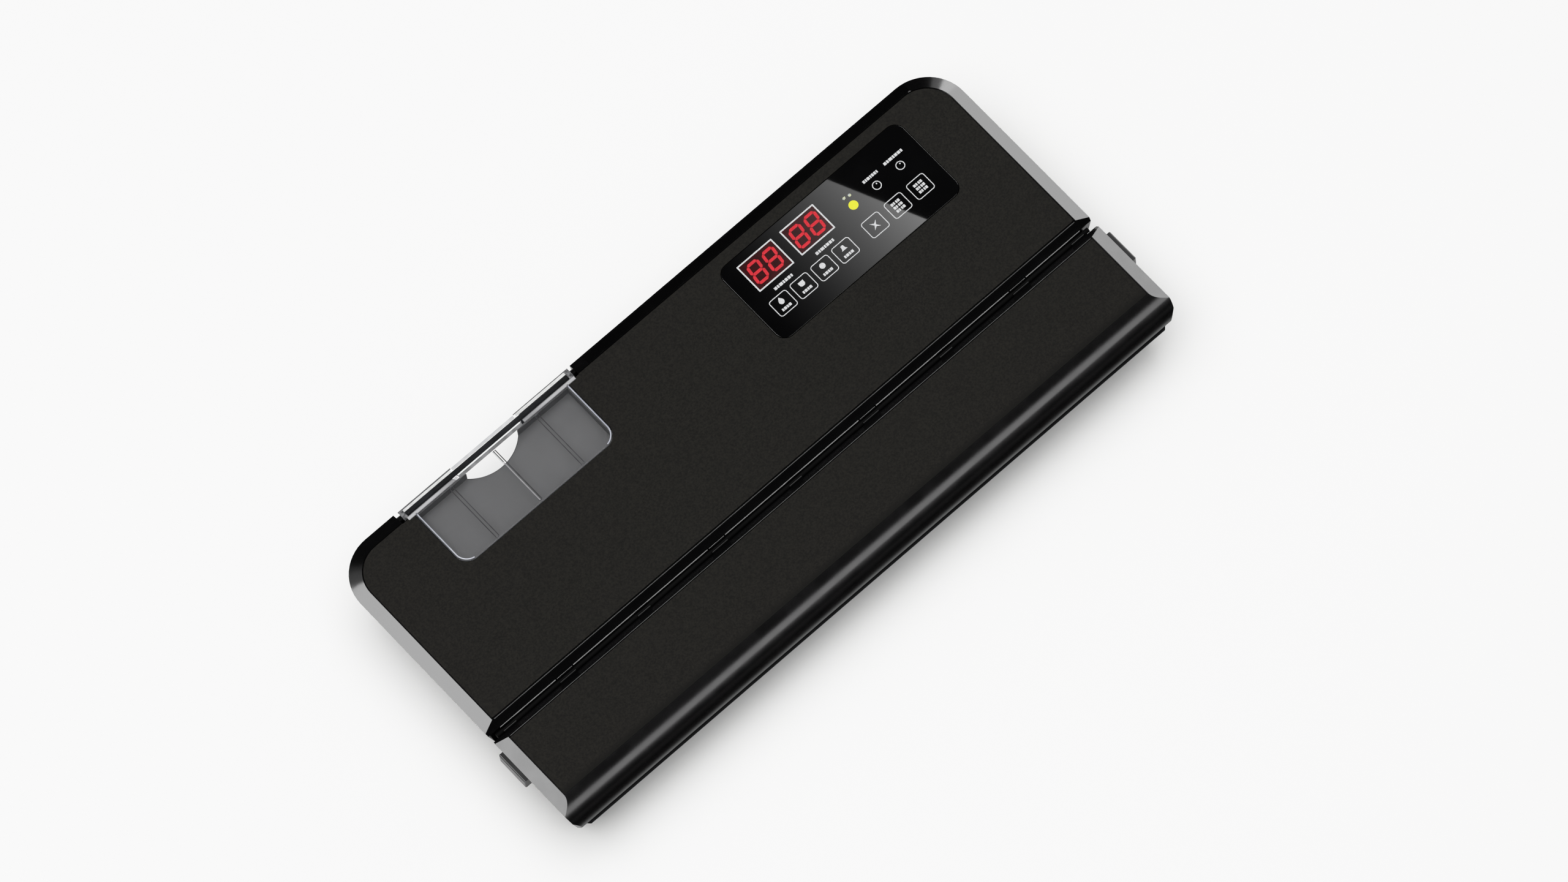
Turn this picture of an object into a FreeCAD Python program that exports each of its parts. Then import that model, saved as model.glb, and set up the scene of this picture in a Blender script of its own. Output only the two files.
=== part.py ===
import FreeCAD, Part
import math
import os

# Countertop vacuum sealer, millimetres.
# +X runs along the length, +Y towards the rear, +Z up.
# The origin is on the table, under the middle of the machine.

V = FreeCAD.Vector

# ---------------------------------------------------------------- driving dimensions
HALF_X = 200.0            # half length, at the widest line of the case
REAR_Y = 91.7             # rear of the case, at its widest line
FRONT_Y = -91.7           # front lip of the base
TOP_Z = 50.0              # flat top of the case and of the lid
BEVEL_Z = 47.4            # lower edge of the bevel round the top
BEVEL_W = 6.8             # width of that bevel, seen from above
SPLIT_Z = 33.5            # where the base tray meets the upper shells
FLOOR_Z = 2.5             # underside of the base tray
END_TAPER = math.tan(math.radians(14.0))      # ends and rear lean in below the bevel
FRONT_TAPER = math.tan(math.radians(20.0))    # front of the base leans in
REAR_R = 24.0             # rear corners, in plan, at the widest line
FRONT_CHAMFER = 6.4       # front corners of the base, in plan
LID_CHAMFER = 2.0         # front corners of the lid, in plan
WALL = 2.2                # shell wall
BODY_GAP = 0.4            # clearance between pieces that move past each other

GROOVE_REAR_Y = -23.2     # rear edge of the V-groove in the top
GROOVE_FRONT_Y = -35.3    # front edge of the V-groove
GROOVE_Z = 45.8           # bottom of the V-groove's slopes
COVER_FRONT_Y = -27.2     # front wall of the rear cover, behind the hinge rod
LID_REAR_Y = -31.2        # rear wall of the lid, in front of the hinge rod
HINGE_Y = -29.1           # lid hinge axis
HINGE_Z = 43.8
HINGE_R = 1.3             # hinge rod
HINGE_FIT = 0.05          # radial running clearance
KNUCKLE_R = 2.5
BRACKET_HALF = 4.0        # half width of a bracket on the rear cover
LID_KNUCKLE_HALF = 5.0    # half width of a knuckle on the lid
KNUCKLE_CLEAR = 0.6       # gap at each end of both

ROLL_START_Y = -76.6      # where the lid's flat top turns into its front roll
ROLL_R = 14.2             # radius of the front roll
LID_BOTTOM_Z = 34.0       # lower edge of the lid
PANEL_T = 0.8             # matte top plates
SEAM = 0.3                # line between a top plate and its shell
END_SEAM = 0.7            # the same line at both ends of a plate

TOUCH_X = (44.0, 164.1)   # touch panel, in plan
TOUCH_Y = (27.4, 77.9)
TOUCH_R = 6.0
TOUCH_T = 1.2
TOUCH_TOP_Z = 50.15
DISPLAY_X = ((53.8, 75.8), (81.8, 103.4))     # two two-digit displays
DISPLAY_Y = (56.0, 72.6)
LED_AT = (118.2, 58.4)
LED_R = 2.5
BOARD_Z = (44.2, 45.8)        # control board under the touch panel
MODULE_TOP_Z = 48.8           # top of the displays and of the lamp

COVER_X = (-149.8, -49.0)   # clear cover, in plan
COVER_Y = 46.0              # its front edge
COVER_R = 8.0               # its front corners
COVER_T = 1.3
COVER_TOP_Z = 50.2
ROD_Y = 87.8                # clear cover's hinge rod
ROD_Z = 47.4
ROD_R = 1.4
LOOP_R = 2.7                # outside of the loops round the rod
LOOP_X = ((-155.4, -121.0), (-79.5, -43.6))
RIB_X = (-127.4, -99.0, -71.1)
ROD_SPAN = (-163.0, -36.0)
EAR_SPAN = (-157.6, -41.4)  # recess in the rear edge for the loops
TRIM_X = (-34.0, 180.0)     # trim strip along the rear bevel
POCKET_FLOOR_Z = 42.0
NOTCH_X = -100.2            # thumb notch behind the pocket
NOTCH_R = 23.7
NOTCH_APEX_Y = 76.2

DECK_TOP_Z = 31.0
DECK_T = 2.0
TROUGH_X = 150.0            # vacuum trough, half length inside
TROUGH_Y = (-63.0, -46.0)
TROUGH_Z = 23.0             # trough floor
GASKET_W = 5.0
HEATER_Y = -80.5            # line of the sealing bar
HEATER_X = 160.0            # half length of the sealing bar
HEATER_TOP_Z = 32.0
STRIP_W = 7.2               # pressure strip above the sealing bar

BUTTON_Y = (-57.6, -38.2)   # release buttons on both ends
BUTTON_Z = (39.0, 46.8)
BUTTON_OUT_X = 202.4
BUTTON_TRAVEL = 2.4
HOOK_X = (186.0, 188.4)     # latch hooks below the buttons
HOOK_Y = (-52.0, -46.5)
HOOK_LOW_Z = 26.6
TOE_X = 190.0                 # tip of the hook's toe
SPRING_FOOT_X = 182.0         # inner end of the button's spring
SPRING_L = 8.0

FOOT_XY = (165.0, -68.0, 66.0)
FOOT_R = 7.0
FOOT_H = 3.5
SCREW_XY = ((-178.0, -20.0), (178.0, -20.0), (-178.0, 62.0), (178.0, 62.0), (0.0, 70.0), (0.0, -20.0))
CORNER_BOSS_R = 4.2

INLET_X = 120.0             # power inlet in the rear wall
INLET_Z = 17.0
INLET_HALF_W = 12.0         # half width and half height of its hole
INLET_HALF_H = 7.0
INLET_FACE_Y = 84.8
PIN_DX = 4.3                # half the spacing of its two pins
PORT_Y = 10.0               # accessory hose port in the right-hand end
PORT_Z = 17.0
PORT_BORE_R = 3.0
PORT_DEPTH = 12.0

PUMP_X = 0.0                # joint between pump motor and pump head
PUMP_Y = 22.0
PUMP_Z = 22.0
MOTOR_R = 14.0
NOZZLE_X = 60.0             # vacuum nozzle in the trough
POWER_BOARD_Z = (10.0, 11.6)


# ---------------------------------------------------------------- helpers
def box(x0, x1, y0, y1, z0, z1):
    return Part.makeBox(x1 - x0, y1 - y0, z1 - z0, V(x0, y0, z0))


def rod_x(r, x0, x1, y, z):
    return Part.makeCylinder(r, x1 - x0, V(x0, y, z), V(1, 0, 0))


def rod_y(r, y0, y1, x, z):
    return Part.makeCylinder(r, y1 - y0, V(x, y0, z), V(0, 1, 0))


def rod_z(r, z0, z1, x, y):
    return Part.makeCylinder(r, z1 - z0, V(x, y, z0), V(0, 0, 1))


def prism_x(points, x0, x1):
    """Solid with a (y, z) outline, from x0 to x1."""
    wire = Part.makePolygon([V(x0, y, z) for y, z in points + points[:1]])
    return Part.Face(wire).extrude(V(x1 - x0, 0, 0))


def prism_y(points, y0, y1):
    """Solid with an (x, z) outline, from y0 to y1."""
    wire = Part.makePolygon([V(x, y0, z) for x, z in points + points[:1]])
    return Part.Face(wire).extrude(V(0, y1 - y0, 0))


def mirrored(shape, side):
    """The shape as drawn for the +X end (side 1), or its mirror image for the other end."""
    return shape if side > 0 else shape.mirror(V(0, 0, 0), V(1, 0, 0))


def fuse(shapes):
    return shapes[0].multiFuse(shapes[1:]).removeSplitter() if len(shapes) > 1 else shapes[0]


def round_plate(x0, x1, y0, y1, z0, z1, r):
    """Plate with four rounded corners in plan."""
    plate = box(x0, x1, y0, y1, z0, z1)
    edges = [e for e in plate.Edges if abs(e.tangentAt(e.FirstParameter).z) > 0.99]
    return plate.makeFillet(r, edges)


def arc_edge(start, centre, end):
    """Quarter arc from start to end round centre, all in one horizontal plane."""
    radius = start.sub(centre).Length
    middle = start.add(end).multiply(0.5).sub(centre)
    middle.normalize()
    return Part.Arc(start, centre.add(middle.multiply(radius)), end).toShape()


def outline(z, half_x, front_y, rear_y, rear_r, chamfer):
    """Closed plan outline at height z: round rear corners, chamfered front corners."""
    hx, r, c = half_x, rear_r, chamfer
    front = [V(-hx, front_y + c, z), V(-hx + c, front_y, z), V(hx - c, front_y, z), V(hx, front_y + c, z)]
    rear = [V(hx, rear_y - r, z), V(hx - r, rear_y, z), V(-hx + r, rear_y, z), V(-hx, rear_y - r, z)]
    edges = [Part.makeLine(a, b) for a, b in zip(front, front[1:])]
    edges.append(Part.makeLine(front[3], rear[0]))
    edges.append(arc_edge(rear[0], V(hx - r, rear_y - r, z), rear[1]))
    edges.append(Part.makeLine(rear[1], rear[2]))
    edges.append(arc_edge(rear[2], V(-hx + r, rear_y - r, z), rear[3]))
    edges.append(Part.makeLine(rear[3], front[0]))
    return Part.Wire(edges)


def case_outline(z, inset=0.0):
    """Outline of the case at height z, from the bevel's lower edge down, moved in by inset."""
    drop = BEVEL_Z - z
    side = END_TAPER * drop + inset
    front = FRONT_Y + FRONT_TAPER * max(0.0, SPLIT_Z - z) + inset
    return outline(z, HALF_X - side, front, REAR_Y - side, REAR_R - side, FRONT_CHAMFER)


def case_block(z0, z1, inset=0.0):
    return Part.makeLoft([case_outline(z0, inset), case_outline(z1, inset)], True, True)


def top_outline(z, inset):
    return outline(z, HALF_X - inset, FRONT_Y + inset, REAR_Y - inset, REAR_R - inset, FRONT_CHAMFER)


def bevel_block(inset=0.0, drop=0.0):
    low = top_outline(BEVEL_Z - drop, inset)
    high = top_outline(TOP_Z - drop, BEVEL_W + inset)
    return Part.makeLoft([low, high], True, True)


def flute(r_extra, z0, z1):
    """Upright half-round channel of the thumb notch."""
    return rod_z(NOTCH_R + r_extra, z0, z1, NOTCH_X, NOTCH_APEX_Y + NOTCH_R)


def helix_spring(r, wire_r, length, turns, foot):
    """Spring round the line through its foot along +X."""
    helix = Part.makeHelix(length / turns, length, r)
    profile = Part.Wire(Part.makeCircle(wire_r, V(r, 0, 0), V(0, 1, 0)))
    spring = Part.Wire(helix.Edges).makePipeShell([profile], True, True)
    spring.rotate(V(0, 0, 0), V(0, 1, 0), 90.0)
    spring.translate(foot)
    return spring


def bent_tube(points, r_out, r_in, bend):
    """Tube along straight runs joined by tangent arcs."""
    edges = []
    start = points[0]
    for before, corner, after in zip(points, points[1:], points[2:]):
        a = before.sub(corner).normalize()
        b = after.sub(corner).normalize()
        half = a.getAngle(b) / 2.0
        reach = bend / math.tan(half)
        p = corner.add(V(a).multiply(reach))
        q = corner.add(V(b).multiply(reach))
        inward = a.add(b).normalize()
        centre = corner.add(V(inward).multiply(bend / math.sin(half)))
        middle = centre.sub(inward.multiply(bend))
        edges.append(Part.makeLine(start, p))
        edges.append(Part.Arc(p, middle, q).toShape())
        start = q
    edges.append(Part.makeLine(start, points[-1]))
    path = Part.Wire(edges)
    direction = points[1].sub(points[0])
    outer = path.makePipeShell([Part.Wire(Part.makeCircle(r_out, points[0], direction))], True, False)
    inner = path.makePipeShell([Part.Wire(Part.makeCircle(r_in, points[0], direction))], True, False)
    return outer.cut(inner)


# ---------------------------------------------------------------- case
def base_tray():
    outer = case_block(FLOOR_Z, SPLIT_Z)
    inner = case_block(FLOOR_Z + WALL, SPLIT_Z, WALL)
    tray = outer.cut(inner)
    bosses = [rod_z(CORNER_BOSS_R, FLOOR_Z + 1.0, 20.0, x, y) for x, y in SCREW_XY]
    notch_wall = flute(WALL + 2.0, FLOOR_Z, SPLIT_Z).common(outer)
    ribs = [box(x - 1.0, x + 1.0, -84.0, -72.0, FLOOR_Z + 1.0, 24.0).common(outer)
            for x in (-120.0, -40.0, 40.0, 120.0)]
    tray = fuse([tray, notch_wall] + bosses + ribs)
    cuts = [flute(2.0, 0.0, SPLIT_Z + 1.0)]
    for x, y in SCREW_XY:
        cuts.append(rod_z(1.8, 0.0, 21.0, x, y))
        cuts.append(rod_z(3.5, 0.0, FLOOR_Z + 3.0, x, y))
    cuts += [rod_z(FOOT_R, 0.0, FOOT_H, x, y) for x, y in foot_places()]
    cuts += vent_slots()
    cuts.append(box(INLET_X - INLET_HALF_W, INLET_X + INLET_HALF_W, 70.0, REAR_Y,
                    INLET_Z - INLET_HALF_H, INLET_Z + INLET_HALF_H))
    cuts.append(rod_x(5.0, 180.0, HALF_X, PORT_Y, PORT_Z))
    tray = tray.cut(cuts)
    return Part.makeCompound([s for block in tray_blocks() for s in tray.common(block).Solids])


def tray_blocks():
    """Blocks of the tray, each close to convex; it is written as solids that meet on their faces."""
    far_x, high = HALF_X + 5.0, SPLIT_Z + 5.0
    front, front_y, rear_y, rear = FRONT_Y - 5.0, -74.0, 74.5, REAR_Y + 5.0
    floor_z = FLOOR_Z + WALL
    blocks = [box(-far_x, far_x, front, rear_y, 0.0, floor_z),
              box(-far_x, far_x, front, front_y, floor_z, high),
              box(-far_x, far_x, front_y, rear_y, floor_z, high)]
    notch_planes = [NOTCH_X + dx for dx in (-28.0, -14.0, 0.0, 14.0, 28.0)]
    planes = [-far_x] + notch_planes + [INLET_X - INLET_HALF_W, INLET_X + INLET_HALF_W, far_x]
    return blocks + [box(x0, x1, rear_y, rear, 0.0, high) for x0, x1 in zip(planes, planes[1:])]


def foot_places():
    x, front, rear = FOOT_XY
    return [(-x, front), (x, front), (-x, rear), (x, rear)]


def vent_slots():
    """Cooling slots in the floor of the tray, under the pump and the power board."""
    slots = []
    for first_x in (-60.0, 110.0):
        for i in range(7):
            x = first_x + 7.0 * i
            slots.append(box(x, x + 2.5, 5.0, 40.0, 0.0, FLOOR_Z + WALL + 0.1))
    return slots


def rear_cover():
    outer = fuse([case_block(SPLIT_Z, BEVEL_Z), bevel_block()])
    inner = fuse([case_block(SPLIT_Z, BEVEL_Z - WALL, WALL), bevel_block(WALL, WALL)])
    shell = outer.cut(inner)
    front_wall = box(-HALF_X, HALF_X, COVER_FRONT_Y, COVER_FRONT_Y + WALL, SPLIT_Z, TOP_Z)
    slope = prism_x([(COVER_FRONT_Y, GROOVE_Z - 3.0), (COVER_FRONT_Y, TOP_Z), (GROOVE_REAR_Y + 3.2, TOP_Z),
                     (GROOVE_REAR_Y + 3.2, TOP_Z - 3.0)], -HALF_X, HALF_X)
    rod_seat = fuse([box(x0, x1, REAR_Y - 10.0, REAR_Y, 41.0, TOP_Z)
                     for x0, x1 in ((ROD_SPAN[0] - 1.0, EAR_SPAN[0]), (EAR_SPAN[1], ROD_SPAN[1] + 1.0))])
    pocket_wall = box(COVER_X[0] - 3.0, COVER_X[1] + 3.0, COVER_Y - 3.0, REAR_Y, POCKET_FLOOR_Z - 2.0, TOP_Z)
    bosses = fuse([rod_z(CORNER_BOSS_R, 20.2, TOP_Z - 1.0, x, y) for x, y in SCREW_XY])
    notch_wall = flute(WALL + 2.0, SPLIT_Z, TOP_Z)
    solid = fuse([shell] + [s.common(outer) for s in (front_wall, slope, rod_seat, pocket_wall, notch_wall)])
    solid = solid.fuse(bosses)

    cuts = [box(-HALF_X - 5.0, HALF_X + 5.0, FRONT_Y - 5.0, COVER_FRONT_Y, 0.0, TOP_Z + 5.0)]
    cuts.append(prism_x([(COVER_FRONT_Y - 1.0, GROOVE_Z), (COVER_FRONT_Y, GROOVE_Z), (GROOVE_REAR_Y, TOP_Z),
                         (GROOVE_REAR_Y, TOP_Z + 1.0), (COVER_FRONT_Y - 1.0, TOP_Z + 1.0)], -HALF_X, HALF_X))
    cuts.append(rear_plate_blank(0.0))
    cuts.append(touch_window(SEAM))
    cuts.append(flute(2.0, 0.0, TOP_Z + 1.0))
    cuts.append(box(COVER_X[0] - 0.4, COVER_X[1] + 0.4, COVER_Y - 0.4, REAR_Y - 7.0,
                    POCKET_FLOOR_Z - 0.8, TOP_Z))
    cuts.append(box(*EAR_SPAN, REAR_Y - 7.4, REAR_Y + 1.0, ROD_Z - 3.6, TOP_Z))
    cuts.append(rod_x(ROD_R, *ROD_SPAN, ROD_Y, ROD_Z))
    cuts += [rod_z(1.5, 20.0, 44.0, x, y) for x, y in SCREW_XY]
    cuts += [knuckle_space(x, LID_KNUCKLE_HALF) for x in knuckle_places()]
    cuts.append(trim_groove(0.0))
    solid = solid.cut(cuts)
    brackets = [hinge_bracket(x) for x in bracket_places()]
    solid = fuse([solid] + brackets)
    return Part.makeCompound([s for block in pocket_blocks() for s in solid.common(block).Solids])


def pocket_blocks():
    """Blocks round the accessory pocket; the cover is written as solids that meet on their faces."""
    x0, x1 = COVER_X[0] - 0.4, COVER_X[1] + 0.4
    y0 = COVER_Y - 0.4
    z0 = POCKET_FLOOR_Z - 0.8
    front, rear = FRONT_Y, REAR_Y + 5.0
    low, high = 0.0, TOP_Z + 5.0
    return [box(-HALF_X - 5.0, x0, front, rear, low, high),
            box(x1, HALF_X + 5.0, front, rear, low, high),
            box(x0, x1, front, y0, low, high),
            box(x0, x1, y0, rear, low, z0),
            box(x0, x1, y0, rear, z0, high)]


def rear_plate_blank(gap):
    """Recess for the matte plate on the rear cover; gap draws the plate in from the recess."""
    inset = BEVEL_W + gap
    end_inset = BEVEL_W + gap * END_SEAM / SEAM
    wire = outline(TOP_Z - PANEL_T, HALF_X - end_inset, GROOVE_REAR_Y + 0.4 + gap, REAR_Y - inset,
                   REAR_R - inset, 0.5)
    return Part.Face(wire).extrude(V(0, 0, PANEL_T))


def touch_window(gap):
    return round_plate(TOUCH_X[0] - gap, TOUCH_X[1] + gap, TOUCH_Y[0] - gap, TOUCH_Y[1] + gap,
                       40.0, TOP_Z + 1.0, TOUCH_R + gap)


def rear_top_panel():
    plate = rear_plate_blank(SEAM)
    pocket = round_plate(COVER_X[0] - 0.4, COVER_X[1] + 0.4, COVER_Y - 0.4, REAR_Y + 20.0,
                         TOP_Z - 2.0, TOP_Z + 1.0, COVER_R + 0.4)
    ears = box(*EAR_SPAN, REAR_Y - 7.4, REAR_Y, TOP_Z - 2.0, TOP_Z + 1.0)
    return plate.cut([pocket, ears, touch_window(SEAM)])


def trim_groove(gap):
    """Shallow seat along the rear bevel for the trim strip; gap draws the strip in."""
    y_in = REAR_Y - BEVEL_W + 0.5 + gap
    y_out = REAR_Y - 1.2 - gap
    points = [(y_in, TOP_Z - 1.5), (y_out, BEVEL_Z - 1.0), (y_out, BEVEL_Z + 0.6), (y_in, TOP_Z)]
    return prism_x(points, TRIM_X[0] + gap, TRIM_X[1] - gap)


def rear_trim_strip():
    strip = trim_groove(SEAM / 3.0)
    envelope = bevel_block(0.25)
    return strip.common(envelope)


# ---------------------------------------------------------------- lid and its hinge
def knuckle_places():
    return [-150.0, -50.0, 50.0, 150.0]


def bracket_places():
    return [-188.0, -100.0, 0.0, 100.0, 188.0]


def knuckle_space(x, half_width):
    """Room that one shell leaves for a loop of the other."""
    half = half_width + KNUCKLE_CLEAR
    return rod_x(KNUCKLE_R + BODY_GAP, x - half, x + half, HINGE_Y, HINGE_Z)


def hinge_loop(x, half_width, foot):
    """Loop that carries the hinge rod, on a foot that ties it to its shell."""
    loop = rod_x(KNUCKLE_R, x - half_width, x + half_width, HINGE_Y, HINGE_Z).fuse(foot)
    bore = rod_x(HINGE_R + HINGE_FIT, x - half_width - 1.0, x + half_width + 1.0, HINGE_Y, HINGE_Z)
    mouth = box(x - half_width - 1.0, x + half_width + 1.0, HINGE_Y - 1.0, HINGE_Y + 1.0, HINGE_Z, TOP_Z)
    return loop.cut([bore, mouth])


def hinge_bracket(x):
    foot = box(x - BRACKET_HALF, x + BRACKET_HALF, HINGE_Y, COVER_FRONT_Y + 1.0, HINGE_Z - KNUCKLE_R, HINGE_Z)
    return hinge_loop(x, BRACKET_HALF, foot)


def lid_knuckle(x):
    half = LID_KNUCKLE_HALF
    foot = box(x - half, x + half, LID_REAR_Y - 1.0, HINGE_Y, HINGE_Z - KNUCKLE_R, HINGE_Z)
    return hinge_loop(x, half, foot)


def lid_hinge_rod():
    return rod_x(HINGE_R, -196.0, 196.0, HINGE_Y, HINGE_Z)


def lid_section(inset):
    """(y, z) section of the lid: V-slope, flat top, front roll and front wall."""
    start = V(0, ROLL_START_Y, TOP_Z - inset)
    r = ROLL_R - inset
    centre = V(0, ROLL_START_Y, TOP_Z - ROLL_R)
    middle = centre.add(V(0, -r * math.sin(math.pi / 4), r * math.cos(math.pi / 4)))
    end = centre.add(V(0, -r, 0))
    front_low = V(0, end.y + 0.6, LID_BOTTOM_Z)
    rear_low = V(0, LID_REAR_Y - inset, LID_BOTTOM_Z)
    rear_high = V(0, LID_REAR_Y - inset, GROOVE_Z)
    slope_top = V(0, GROOVE_FRONT_Y - inset, TOP_Z - inset)
    edges = [Part.Arc(start, middle, end).toShape(), Part.makeLine(end, front_low),
             Part.makeLine(front_low, rear_low), Part.makeLine(rear_low, rear_high),
             Part.makeLine(rear_high, slope_top), Part.makeLine(slope_top, start)]
    return Part.Face(Part.Wire(edges))


def lid_block(inset):
    """Lid volume, with its beveled ends and chamfered front corners, moved in by inset."""
    face = lid_section(inset)
    face.translate(V(-HALF_X - 1.0, 0, 0))
    bar = face.extrude(V(2 * HALF_X + 2.0, 0, 0))
    low = end_rectangle(LID_BOTTOM_Z, inset)
    edge = end_rectangle(BEVEL_Z - inset, inset)
    high = end_rectangle(TOP_Z - inset, inset, BEVEL_W)
    ends = Part.makeLoft([low, edge], True, True)
    bevel = Part.makeLoft([edge, high], True, True)
    return bar.common(ends.fuse(bevel))


def end_rectangle(z, inset, extra=0.0):
    """Plan that trims the lid's ends and front corners; its rear edge lies behind the lid."""
    half = HALF_X - END_TAPER * max(0.0, BEVEL_Z - inset - z) - inset - extra
    front = ROLL_START_Y - ROLL_R - 0.001 + inset
    return outline(z, half, front, 0.0, 1.0, LID_CHAMFER)


def lid_shell():
    shell = lid_block(0.0).cut(lid_block(WALL))
    cuts = [lid_plate_blank(0.0)]
    y0, y1 = BUTTON_Y
    z0, z1 = BUTTON_Z
    for side in (-1, 1):
        x0, x1 = sorted((side * 190.0, side * 205.0))
        cuts.append(box(x0, x1, y0 - 0.3, y1 + 0.3, z0 - 0.3, z1 + 0.3))
    cuts += [knuckle_space(x, BRACKET_HALF) for x in bracket_places()]
    shell = shell.cut(cuts)
    knuckles = [lid_knuckle(x) for x in knuckle_places()]
    return fuse([shell] + knuckles)


def lid_plate_blank(gap):
    """Recess for the matte plate on the lid; the plate runs flush into the front roll."""
    half_x = HALF_X - BEVEL_W - gap * END_SEAM / SEAM
    return box(-half_x, half_x, ROLL_START_Y, GROOVE_FRONT_Y - 0.4 - gap, TOP_Z - PANEL_T, TOP_Z)


def lid_top_panel():
    return lid_plate_blank(SEAM)


def lid_inner_frame():
    """Plate that closes the lid from below and holds the gasket and the pressure strip."""
    y0 = ROLL_START_Y - ROLL_R + WALL + 0.8
    y1 = LID_REAR_Y - WALL
    frame = box(-192.0, 192.0, y0, y1, 35.5, 37.5)
    frame = frame.common(lid_block(WALL))
    ribs = [box(x - 1.0, x + 1.0, -74.0, -38.0, 37.5, TOP_Z - WALL - 0.2)
            for x in (-120.0, -60.0, 0.0, 60.0, 120.0)]
    strip_walls = box(-HEATER_X - 2.0, HEATER_X + 2.0, HEATER_Y - 5.5, HEATER_Y + 5.5, 34.6, 35.5)
    frame = fuse([frame, strip_walls] + ribs)
    cuts = [gasket_ring(34.0, 36.5)]
    cuts.append(box(-HEATER_X, HEATER_X, HEATER_Y - STRIP_W / 2.0, HEATER_Y + STRIP_W / 2.0, 30.0, 36.6))
    hook_x0 = HOOK_X[0] - BUTTON_TRAVEL - 0.8
    hook_slot = box(hook_x0, HALF_X, HOOK_Y[0] - 0.5, HOOK_Y[1] + 0.5, 30.0, 38.0)
    cuts += [mirrored(hook_slot, side) for side in (-1, 1)]
    return frame.cut(cuts)


def gasket_ring(z0, z1, gap=0.0):
    """Rectangular ring round the vacuum trough."""
    out_x = TROUGH_X + GASKET_W + 3.0 - gap
    y0 = TROUGH_Y[0] - GASKET_W - 3.0 + gap
    y1 = TROUGH_Y[1] + GASKET_W + 3.0 - gap
    w = GASKET_W - 2.0 * gap
    outer = round_plate(-out_x, out_x, y0, y1, z0, z1, 10.0)
    inner = round_plate(-out_x + w, out_x - w, y0 + w, y1 - w, z0 - 1.0, z1 + 1.0, 10.0 - w)
    return outer.cut(inner)


def pressure_strip():
    strip = box(-HEATER_X, HEATER_X, HEATER_Y - STRIP_W / 2.0, HEATER_Y + STRIP_W / 2.0, 33.4, 36.6)
    grooves = [box(-HEATER_X, HEATER_X, y - 0.4, y + 0.4, 33.3, 33.9)
               for y in (HEATER_Y - 1.6, HEATER_Y, HEATER_Y + 1.6)]
    return strip.cut(grooves)


# ---------------------------------------------------------------- release buttons
def release_button(side):
    """Push button in the lid's end wall, with the latch hook that hangs from it."""
    y0, y1 = BUTTON_Y
    z0, z1 = BUTTON_Z
    head = box(192.0, BUTTON_OUT_X, y0, y1, z0, z1)
    edges = [e for e in head.Edges if e.BoundBox.XMin > BUTTON_OUT_X - 0.01]
    head = head.makeFillet(0.7, edges)
    flange = box(191.0, 193.0, y0 - 1.5, y1 + 1.5, z0, z1)
    leg = box(*HOOK_X, *HOOK_Y, HOOK_LOW_Z, 42.0)
    arm = box(HOOK_X[0], 191.5, *HOOK_Y, z0, 42.0)
    toe_x = HOOK_X[1] - 0.2
    toe = prism_y([(toe_x, HOOK_LOW_Z), (toe_x + 0.6, HOOK_LOW_Z), (TOE_X, HOOK_LOW_Z + 1.6),
                   (TOE_X, HOOK_LOW_Z + 2.2), (toe_x, HOOK_LOW_Z + 2.2)], *HOOK_Y)
    return mirrored(fuse([head, flange, leg, arm, toe]), side)


def spring_line_y():
    return sum(BUTTON_Y) / 2.0 + 7.0


def button_spring(side):
    foot = V(SPRING_FOOT_X, spring_line_y(), sum(BUTTON_Z) / 2.0)
    return mirrored(helix_spring(2.2, 0.35, SPRING_L, 5.0, foot), side)


def button_guide(side):
    """Block under the lid's top that backs the button's spring."""
    block = box(SPRING_FOOT_X - 3.5, SPRING_FOOT_X - 0.5, spring_line_y() - 4.0, spring_line_y() + 4.0,
                37.5, TOP_Z - WALL - 0.4)
    return mirrored(block, side)


# ---------------------------------------------------------------- clear cover and pocket
def clear_cover():
    x0, x1 = COVER_X
    z0, z1 = COVER_TOP_Z - COVER_T, COVER_TOP_Z
    plate = box(x0, x1, COVER_Y, ROD_Y, z0, z1)
    front = [e for e in plate.Edges
             if abs(e.tangentAt(e.FirstParameter).z) > 0.99 and e.BoundBox.YMax < COVER_Y + 0.01]
    plate = plate.makeFillet(COVER_R, front)
    ribs = [box(x - 0.9, x + 0.9, COVER_Y + 1.6, ROD_Y - 5.0, z0 - 1.0, z0) for x in RIB_X]
    loops = [rod_x(LOOP_R, a, b, ROD_Y, ROD_Z) for a, b in LOOP_X]
    middle = rod_x(LOOP_R - 0.6, LOOP_X[0][1], LOOP_X[1][0], ROD_Y, ROD_Z)
    middle = middle.common(box(x0, x1, ROD_Y - 0.2, REAR_Y, ROD_Z, TOP_Z + 1.0))
    cover = fuse([plate, middle] + ribs + loops)
    cuts = [rod_x(ROD_R + HINGE_FIT, x0 - 20.0, x1 + 20.0, ROD_Y, ROD_Z)]
    cuts.append(box(x0 - 20.0, x1 + 20.0, ROD_Y - 5.0, ROD_Y + 1.0, ROD_Z - 5.0, ROD_Z))
    return cover.cut(cuts)


def cover_hinge_rod():
    return rod_x(ROD_R, *ROD_SPAN, ROD_Y, ROD_Z)


def pocket_liner():
    x0, x1 = COVER_X[0] + 0.2, COVER_X[1] - 0.2
    y0, y1 = COVER_Y + 0.2, REAR_Y - 7.6
    tray = box(x0, x1, y0, y1, POCKET_FLOOR_Z - 0.6, 48.4)
    hollow = box(x0 + 1.0, x1 - 1.0, y0 + 1.0, y1 - 1.0, POCKET_FLOOR_Z, TOP_Z)
    return tray.cut([hollow, flute(0.0, 30.0, 50.0)])


# ---------------------------------------------------------------- control panel
def touch_panel():
    return round_plate(*TOUCH_X, *TOUCH_Y, TOUCH_TOP_Z - TOUCH_T, TOUCH_TOP_Z, TOUCH_R)


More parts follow.
